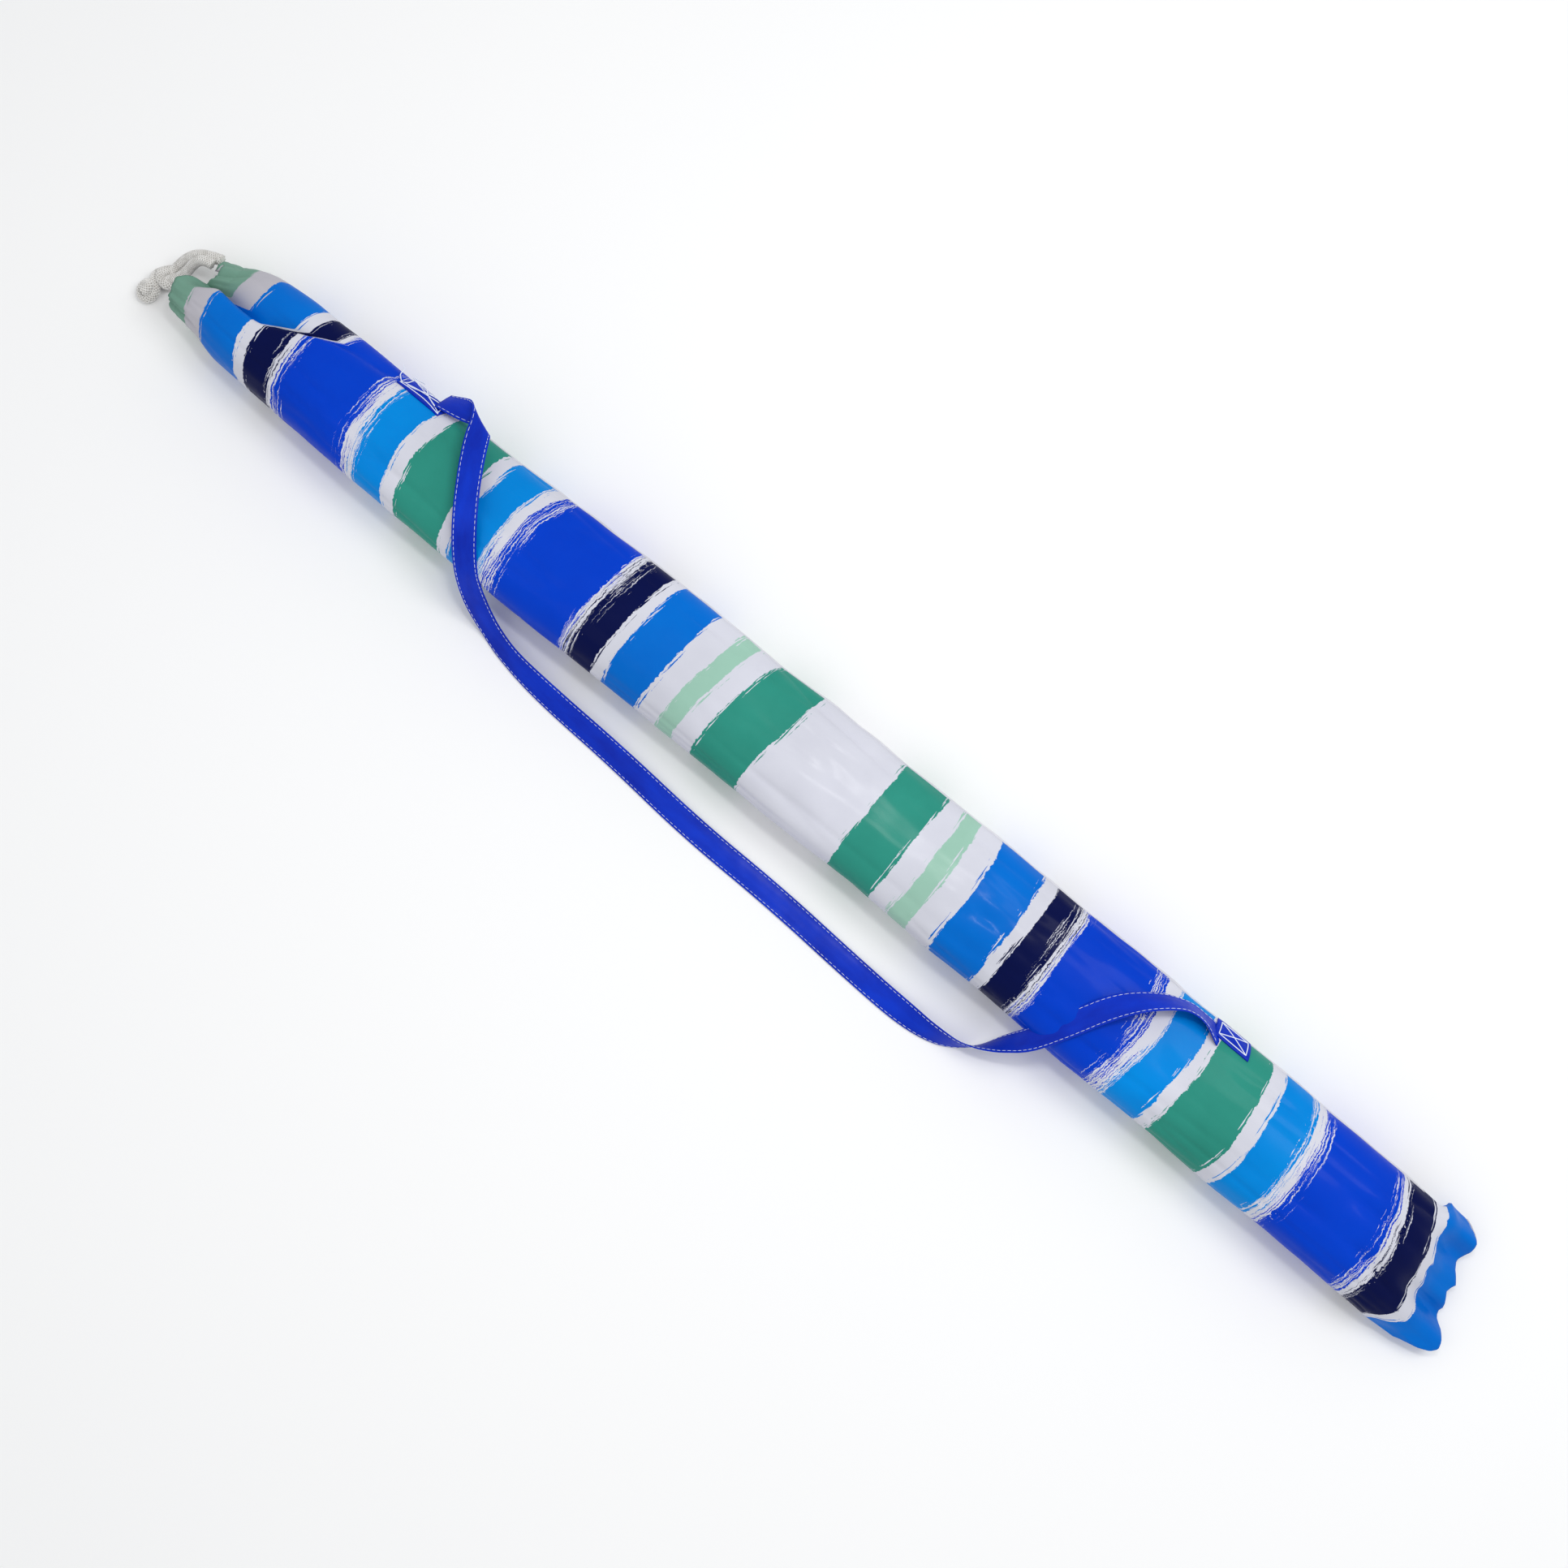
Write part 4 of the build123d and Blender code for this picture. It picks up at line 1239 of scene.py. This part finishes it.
@dataclass
class SewnEnd:
    """One end of the strap, sewn flat to the bag's upper side. Sizes are in millimetres."""

    name: str
    replaced: str
    corners: tuple                        # x and way round in degrees of each corner
    messy: bool
    rise: float = 1.3
    thread: float = 0.42

    def build(self, finishes: Finishes, bag: CarryBag) -> bpy.types.Object:
        """Build and dress the sewn end and its stitches.

        Args:
            finishes: The materials.
            bag: The bag that it is sewn to.

        Returns:
            The sewn end's object.
        """
        columns, rows = 24, 12
        u, v = np.meshgrid(np.linspace(0, 1, columns), np.linspace(0, 1, rows), indexing="ij")
        grid = self.place(bag, u, v, self.rise + 0.25 * np.sin(u * 9) * np.sin(v * 7))
        size = (np.linalg.norm(grid[-1, 0] - grid[0, 0]), np.linalg.norm(grid[0, -1] - grid[0, 0]))
        uv = np.stack([u * size[0], v * size[1]], axis=-1)
        piece = sheet_mesh(self.name, grid * MM, uv * MM)
        recalculate(piece)
        if sum(polygon.normal.z for polygon in piece.data.polygons) < 0:
            piece.data.flip_normals()
        thicken(piece, self.rise * 0.9 * MM)
        finishes.dress(piece, finishes.strap)
        threads = joined(self.name + "_stitches", [
            tube_mesh(f"{self.name}_thread_{index}", self.run(bag, run) * MM,
                      lambda length, angle: np.full(len(angle), self.thread * MM), 6)
            for index, run in enumerate(self.runs())
        ])
        finishes.dress(threads, finishes.thread)
        for part in (piece, threads):
            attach(part, "bag")
        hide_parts(self.replaced)
        return piece

    def place(self, bag: CarryBag, u: np.ndarray, v: np.ndarray, rise: np.ndarray) -> np.ndarray:
        """Give points above the bag for shares along and across the sewn end.

        Args:
            bag: The bag beneath.
            u: Shares along the sewn end.
            v: Shares across it.
            rise: Heights above the bag, in millimetres.

        Returns:
            The points, in millimetres.
        """
        (x0, a0), (x1, a1), (x2, a2), (x3, a3) = self.corners
        x = (1 - u) * (1 - v) * x0 + u * (1 - v) * x1 + u * v * x2 + (1 - u) * v * x3
        way = (1 - u) * (1 - v) * a0 + u * (1 - v) * a1 + u * v * a2 + (1 - u) * v * a3
        angle = np.radians(way)
        here = bag.surface(x, angle)
        out = np.cross(bag.surface(x + 1, angle) - here, bag.surface(x, angle + 0.02) - here)
        out /= np.linalg.norm(out, axis=-1)[..., None]
        out *= np.sign(out[..., 2:3])
        return here + out * np.asarray(rise)[..., None]

    def runs(self) -> list[list[tuple[float, float, float]]]:
        """Give each thread as shares along and across, with a height above the bag."""
        up = self.rise + 0.15
        if not self.messy:
            a, b, c, d = (0.12, 0.14), (0.9, 0.14), (0.9, 0.86), (0.12, 0.86)
            pairs = ((a, b), (b, c), (c, d), (d, a), (a, c), (b, d))
            return [[(*first, up), (*last, up)] for first, last in pairs]
        return [
            [(0.02, 0.1, up), (0.5, 0.2, up), (0.98, 0.06, up)],
            [(0.0, 0.85, up), (0.45, 0.8, up), (0.9, 0.92, up)],
            [(0.02, 0.14, up), (0.06, 0.5, up), (0.0, 0.86, up)],
            [(0.96, 0.06, up), (0.9, 0.5, up), (1.1, 0.95, up)],
            [(0.05, 0.3, up), (0.4, 0.45, up + 1), (0.9, 0.72, up)],
            [(0.1, 0.8, up), (0.55, 0.5, up), (0.96, 0.1, up)],
            [(0.14, 0.2, up), (0.5, 0.66, up + 0.6), (0.74, 0.95, up)],
            [(0.3, 0.9, up), (0.46, 0.6, up + 0.4), (0.8, 0.3, up)],
            [(0.02, 0.2, up), (-0.14, 0.42, up + 2), (-0.2, 0.6, up + 3.5), (-0.34, 0.8, up + 4)],
            [(0.0, 0.88, up), (-0.1, 1.02, up + 1), (-0.02, 1.2, up + 2), (0.1, 1.16, up + 2.5)],
            [(0.9, 0.7, up), (1.08, 0.74, up + 0.8), (1.22, 0.9, up + 0.6)],
        ]

    def run(self, bag: CarryBag, run: Sequence[tuple[float, float, float]]) -> np.ndarray:
        """Follow one thread over the sewn end.

        Args:
            bag: The bag beneath.
            run: The thread's places.

        Returns:
            Points along the thread, in millimetres.
        """
        share = np.linspace(0, len(run) - 1, 8 * len(run))
        knots = list(range(len(run)))
        if len(run) > 2:
            u, v, rise = (
                through(share, [(k, step[axis]) for k, step in zip(knots, run)]) for axis in range(3)
            )
        else:
            u, v, rise = (np.interp(share, knots, [step[axis] for step in run]) for axis in range(3))
        return self.place(bag, u, v, rise)


# ------------------------------------------------------------------ the drawstring
@dataclass
class Drawstring:
    """The braided rope at the mouth, its returning strand and its knot. Sizes are in millimetres."""

    radius: float = 4.6
    length: float = 59.0
    strands: int = 8
    sides: int = 40
    lay_length: float = 15.0
    return_share: float = 0.92            # of the rope's radius, where the strand is pulled taut
    knot_share: float = 0.95
    route: tuple = ((-624, 21, 30), (-640, 16, 28), (-651, 9, 20), (-658, 0, 11), (-660, -12, 7.7))
    return_route: tuple = (
        (-626, 13, 33), (-634, 12, 34), (-642, 6, 27), (-646, -3, 18), (-651, -12, 12), (-658, -18, 9.5),
    )
    knot_route: tuple = (
        (-660, -8, 8.5), (-665, -14, 12.5), (-662, -21, 12.5), (-655, -21, 9), (-653, -14, 6.5),
        (-659, -10, 5.5), (-668, -14, 6), (-669, -22, 8), (-663, -27, 9), (-659.5, -33, 7),
        (-661.5, -39, 6), (-667, -40.5, 6), (-671, -36, 6.5), (-670, -30, 8), (-665.5, -29, 11),
        (-664, -34, 12.5), (-666, -38, 11.5),
    )

    def braid(self, radius: float) -> Callable[[np.ndarray, np.ndarray], np.ndarray]:
        """Give the radius of a braided rope as a function of length and way round.

        Args:
            radius: The rope's radius, in millimetres.

        Returns:
            The function, in metres.
        """

        def at(length: np.ndarray, angle: np.ndarray) -> np.ndarray:
            """Give the radius where two strands cross or part."""
            wind = 2 * math.pi * length / MM / self.lay_length
            one = np.cos((self.strands * angle + self.strands * wind) / 2)
            two = np.cos((self.strands * angle - self.strands * wind) / 2)
            cell = np.maximum(np.abs(one), np.abs(two))
            return radius * MM * (0.68 + 0.36 * cell**1.5)
        return at

    def build(self, finishes: Finishes) -> bpy.types.Object:
        """Build and dress the rope and its knot.

        Args:
            finishes: The materials.

        Returns:
            The rope's object.
        """
        line = route_points("rope_route", self.route, 34)
        rope = tube_mesh("drawstring_cord", line, self.braid(self.radius), self.sides)
        second = route_points("rope_return_route", self.return_route, 26)
        strand = tube_mesh("drawstring_return", second, self.braid(self.radius * self.return_share),
                           self.sides)
        coil = route_points("knot_route", self.knot_route, 18)
        knot = tube_mesh("drawstring_knot", coil, self.braid(self.radius * self.knot_share), self.sides)
        for piece in (rope, strand, knot):
            finishes.dress(piece, finishes.rope)
            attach(piece, "bag")
        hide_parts("drawstring_rope")
        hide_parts("rope_knot")
        return rope


# ------------------------------------------------------------------ the folded canopy
@dataclass
class FoldedCanopy:
    """The canopy rolled round its ribs, and its tie. Sizes are in millimetres."""

    panels: int = 8
    columns: int = 160
    wrap_turn: float = 0.55               # turns that the folds make along the canopy
    cloth: float = 0.5
    profile: tuple = (
        (0.0, 19.8), (0.03, 19.4), (0.15, 20.0), (0.33, 22.4), (0.5, 24.4), (0.66, 24.0), (0.83, 22.0),
        (0.95, 20.6), (1.0, 17.0),
    )
    half_print: float = 690.0
    middle_radius: float = 22.0
    reach_limits: tuple = (17.9, 26.5)    # between the ribs within and the bag without
    fold_shift: float = 26.0              # how far the print runs on across a fold
    panel_shifts: tuple = (0, 11, -7, 5, -12, 8, -4, 13)
    flat: tuple = (0.19, 0.99)            # in metres, as folded
    tie_flat: tuple = (0.024, 0.155)
    tie_turns: float = 1.16
    tie_start: float = 1.2                # its way round, in radians

    def turns(self, share: np.ndarray, angle: np.ndarray) -> np.ndarray:
        """Count the folds passed, going round and along the roll.

        Args:
            share: Share of the canopy's length, from its hem.
            angle: Way round, in radians.

        Returns:
            Folds passed, with the share of the one reached.
        """
        turn = self.panels * angle / (2 * math.pi) + 2 * self.wrap_turn * share
        return turn + 0.12 * np.sin(share * 17 + angle) + 0.06 * np.sin(share * 41)

    def folds(self, share: np.ndarray, angle: np.ndarray) -> np.ndarray:
        """Give how far the folds stand above or below the roll.

        Args:
            share: Share of the canopy's length, from its hem.
            angle: Way round, in radians.

        Returns:
            Heights, in millimetres.
        """
        turn = self.turns(share, angle)
        cell = np.mod(turn, 1)
        step = np.where(cell < 0.9, cell / 0.9, (1 - cell) / 0.1)
        tight = np.exp(-(((share - 0.165) / 0.03) ** 2))
        relief = 2.3 * (1 - 0.55 * tight)
        second = 0.5 * np.sin(2 * math.pi * turn * 2 + 9 * share)
        return relief * (step - 0.6) + second * (1 - tight)

    def build(self, finishes: Finishes) -> bpy.types.Object:
        """Build and dress the canopy and its tie.

        Args:
            finishes: The materials.

        Returns:
            The canopy's object.
        """
        low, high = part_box("canopy")
        low, high = low / MM, high / MM
        middle = (low + high) / 2
        share = np.concatenate([np.linspace(0, 0.98, 150), np.linspace(0.984, 1, 10)])
        angle = np.linspace(0, 2 * math.pi, self.columns, endpoint=False)
        s, a = np.meshgrid(share, angle, indexing="ij")
        puff = noise_at(np.stack([s * 14, np.cos(a) * 1.4, np.sin(a) * 1.4], axis=-1))
        reach = through(s, self.profile) + self.folds(s, a) * smooth(1 - s, 0, 0.03) + 0.7 * puff
        reach = np.clip(reach, *self.reach_limits)
        scallop = 5 * np.abs(np.sin(self.panels * a / 2)) * (1 - smooth(s, 0, 0.05))
        x = low.x + s * (high.x - low.x) + scallop
        grid = np.stack([x, middle.y + reach * np.cos(a), middle.z + reach * np.sin(a)], axis=-1)
        along = self.half_print * (1 - s)
        around = 2 * math.pi * self.middle_radius * np.linspace(0, 1, self.columns + 1)
        cells = self.turns(s, a)
        overlap = np.array(self.panel_shifts)[np.floor(cells).astype(int) % self.panels]
        along = along + self.fold_shift * (np.mod(cells, 1) - 0.5) + overlap
        along = np.concatenate([along, along[:, :1]], axis=1)
        uv = np.stack([along, np.broadcast_to(around, along.shape)], axis=-1)
        canopy = sheet_mesh("folded_canopy", grid * MM, uv * MM, wrap=True)
        recalculate(canopy)
        if self.faces_in(canopy, middle * MM):
            canopy.data.flip_normals()
        finishes.dress(canopy, finishes.cloth, finishes.reverse)
        thicken(canopy, self.cloth * MM, lining=True)
        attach(canopy, "umbrella")
        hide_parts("canopy")
        self.tie(finishes, low, high, middle)
        return canopy

    @staticmethod
    def faces_in(piece: bpy.types.Object, middle: Vector) -> bool:
        """Tell whether a tube's faces look at its middle line."""
        total = 0.0
        for polygon in piece.data.polygons:
            away = polygon.center - middle
            total += away.y * polygon.normal.y + away.z * polygon.normal.z
        return total < 0

    def tie(self, finishes: Finishes, low: Vector, high: Vector, middle: Vector) -> bpy.types.Object:
        """Build and dress the tie that holds the folds.

        Args:
            finishes: The materials.
            low: The canopy's lowest corner, in millimetres.
            high: Its highest corner.
            middle: Its middle.

        Returns:
            The tie's object.
        """
        start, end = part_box("canopy_tie")
        start, end = start / MM, end / MM
        around = np.linspace(0, 2 * math.pi * self.tie_turns, 150)
        across = np.linspace(0, 1, 15)
        t, w = np.meshgrid(around, across, indexing="ij")
        x = start.x + w * (end.x - start.x) + 0.6 * np.sin(t * 5)
        share = (x - low.x) / (high.x - low.x)
        lift = 1.3 + 1.4 * smooth(t, 2 * math.pi * 0.9, 2 * math.pi * 1.02) + 0.25 * np.cos((w - 0.5) * 6)
        roll = through(share, self.profile) + 0.7 * self.folds(share, t)
        reach = roll + lift
        way = t + self.tie_start
        grid = np.stack([x, middle.y + reach * np.cos(way), middle.z + reach * np.sin(way)], axis=-1)
        uv = np.stack([t * 21, w * (end.x - start.x)], axis=-1)
        tie = sheet_mesh("canopy_tie_band", grid * MM, uv * MM)
        if self.faces_in(tie, middle * MM):
            tie.data.flip_normals()
        finishes.dress(tie, finishes.strap)
        thicken(tie, 0.9 * MM)
        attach(tie, "umbrella")
        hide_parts("canopy_tie")
        return tie


# ------------------------------------------------------------------ the studio
@dataclass
class Studio:
    """The floor, the lights and the camera, in metres and degrees."""

    target: tuple[float, float, float] = (0.0, -0.0195, 0.035)
    distance: float = 1.5
    elevation: float = 82.0
    heading: float = 39.6
    lens: float = 44.33
    floor_size: float = 80.0
    floor_colour: tuple = (0.93, 0.93, 0.93, 1)
    room_colour: tuple = (0.98, 0.99, 1.0, 1)
    room_strength: float = 0.7
    lamps: tuple = (                      # name, place, size and power in watts
        ("key", (0.75, 0.9, 2.0), (0.9, 0.9), 14.0),
        ("fill", (-0.6, -0.9, 1.7), (0.9, 0.9), 1.5),
        ("window_left", (-0.04, 0.2, 1.5), (0.1, 0.16), 2.4),
        ("window_right", (0.13, 0.24, 1.5), (0.08, 0.14), 1.8),
    )

    def build(self) -> None:
        """Build the studio."""
        self.floor()
        self.lights()
        self.camera()

    def floor(self) -> None:
        """Lay a plain pale floor."""
        deselect_all()
        bpy.ops.mesh.primitive_plane_add(size=self.floor_size, location=(0, 0, 0))
        plane = bpy.context.object
        plane.name = "studio_floor"
        material = new_material(
            "studio_floor", Roughness=0.9, Base_Color=self.floor_colour, Specular_IOR_Level=0.2,
        )[0]
        plane.data.materials.append(material)

    def lights(self) -> None:
        """Hang soft lights over the object and brighten the room."""
        world = bpy.data.worlds.new("room")
        bpy.context.scene.world = world
        world.use_nodes = True
        sky = world.node_tree.nodes["Background"]
        sky.inputs[0].default_value = self.room_colour
        sky.inputs[1].default_value = self.room_strength
        for name, place, size, power in self.lamps:
            lamp = bpy.data.lights.new(name, "AREA")
            lamp.shape = "RECTANGLE"
            lamp.size, lamp.size_y = size
            lamp.energy = power
            light = bpy.data.objects.new(name, lamp)
            bpy.context.scene.collection.objects.link(light)
            light.location = place
            aim = Vector((0, 0, 0.03)) - Vector(place)
            light.rotation_mode = "QUATERNION"
            light.rotation_quaternion = aim.to_track_quat("-Z", "Y")

    def camera(self) -> None:
        """Set the camera above the bag."""
        turn, lift = math.radians(self.heading), math.radians(self.elevation)
        right = Vector((math.cos(turn), math.sin(turn), 0))
        ahead = Vector((-math.sin(turn), math.cos(turn), 0))
        back = -ahead * math.cos(lift) + Vector((0, 0, math.sin(lift)))
        up = ahead * math.sin(lift) + Vector((0, 0, math.cos(lift)))
        data = bpy.data.cameras.new("camera")
        data.lens = self.lens
        data.sensor_width = 36
        data.clip_start, data.clip_end = 0.05, 50
        camera = bpy.data.objects.new("camera", data)
        bpy.context.scene.collection.objects.link(camera)
        basis = Matrix((right, up, back)).transposed().to_4x4()
        camera.matrix_world = Matrix.Translation(Vector(self.target) + back * self.distance) @ basis
        bpy.context.scene.camera = camera
        bpy.context.scene.view_settings.view_transform = "Standard"


def squash_spring(spring: bpy.types.Object) -> None:
    """Give the button's spring a mesh of its own.

    Args:
        spring: The spring's object.
    """
    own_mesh(spring)


def main() -> None:
    """Build everything and log what is built."""
    logging.basicConfig(level=logging.INFO, format="%(message)s")
    Studio().build()
    finishes = Finishes()
    finishes.dress_cad(frame["nodes"], frame["record"])
    rope = Drawstring().build(finishes)
    LOG.info("built %s", rope.name)
    bag_shape = CarryBag()
    bag = bag_shape.build(finishes)
    LOG.info("built %s with %d faces", bag.name, len(bag.data.polygons))
    LOG.info("built %s", bag_shape.seam(finishes).name)
    strap = ShoulderStrap().build(finishes)
    LOG.info("built %s", strap.name)
    for end in (
        SewnEnd("strap_front_end", "strap_end_front",
                corners=((-436, 47), (-393, 49), (-389, 20), (-429, 17)), messy=True),
        SewnEnd("strap_rear_end", "strap_end_rear",
                corners=((370, 50), (403, 51), (399, 24), (368, 24)), messy=False),
    ):
        LOG.info("built %s", end.build(finishes, bag_shape).name)
    canopy = FoldedCanopy().build(finishes)
    LOG.info("built %s", canopy.name)
    squash_spring(frame["nodes"]["tilt_spring"])


if __name__ == "__main__":
    main()
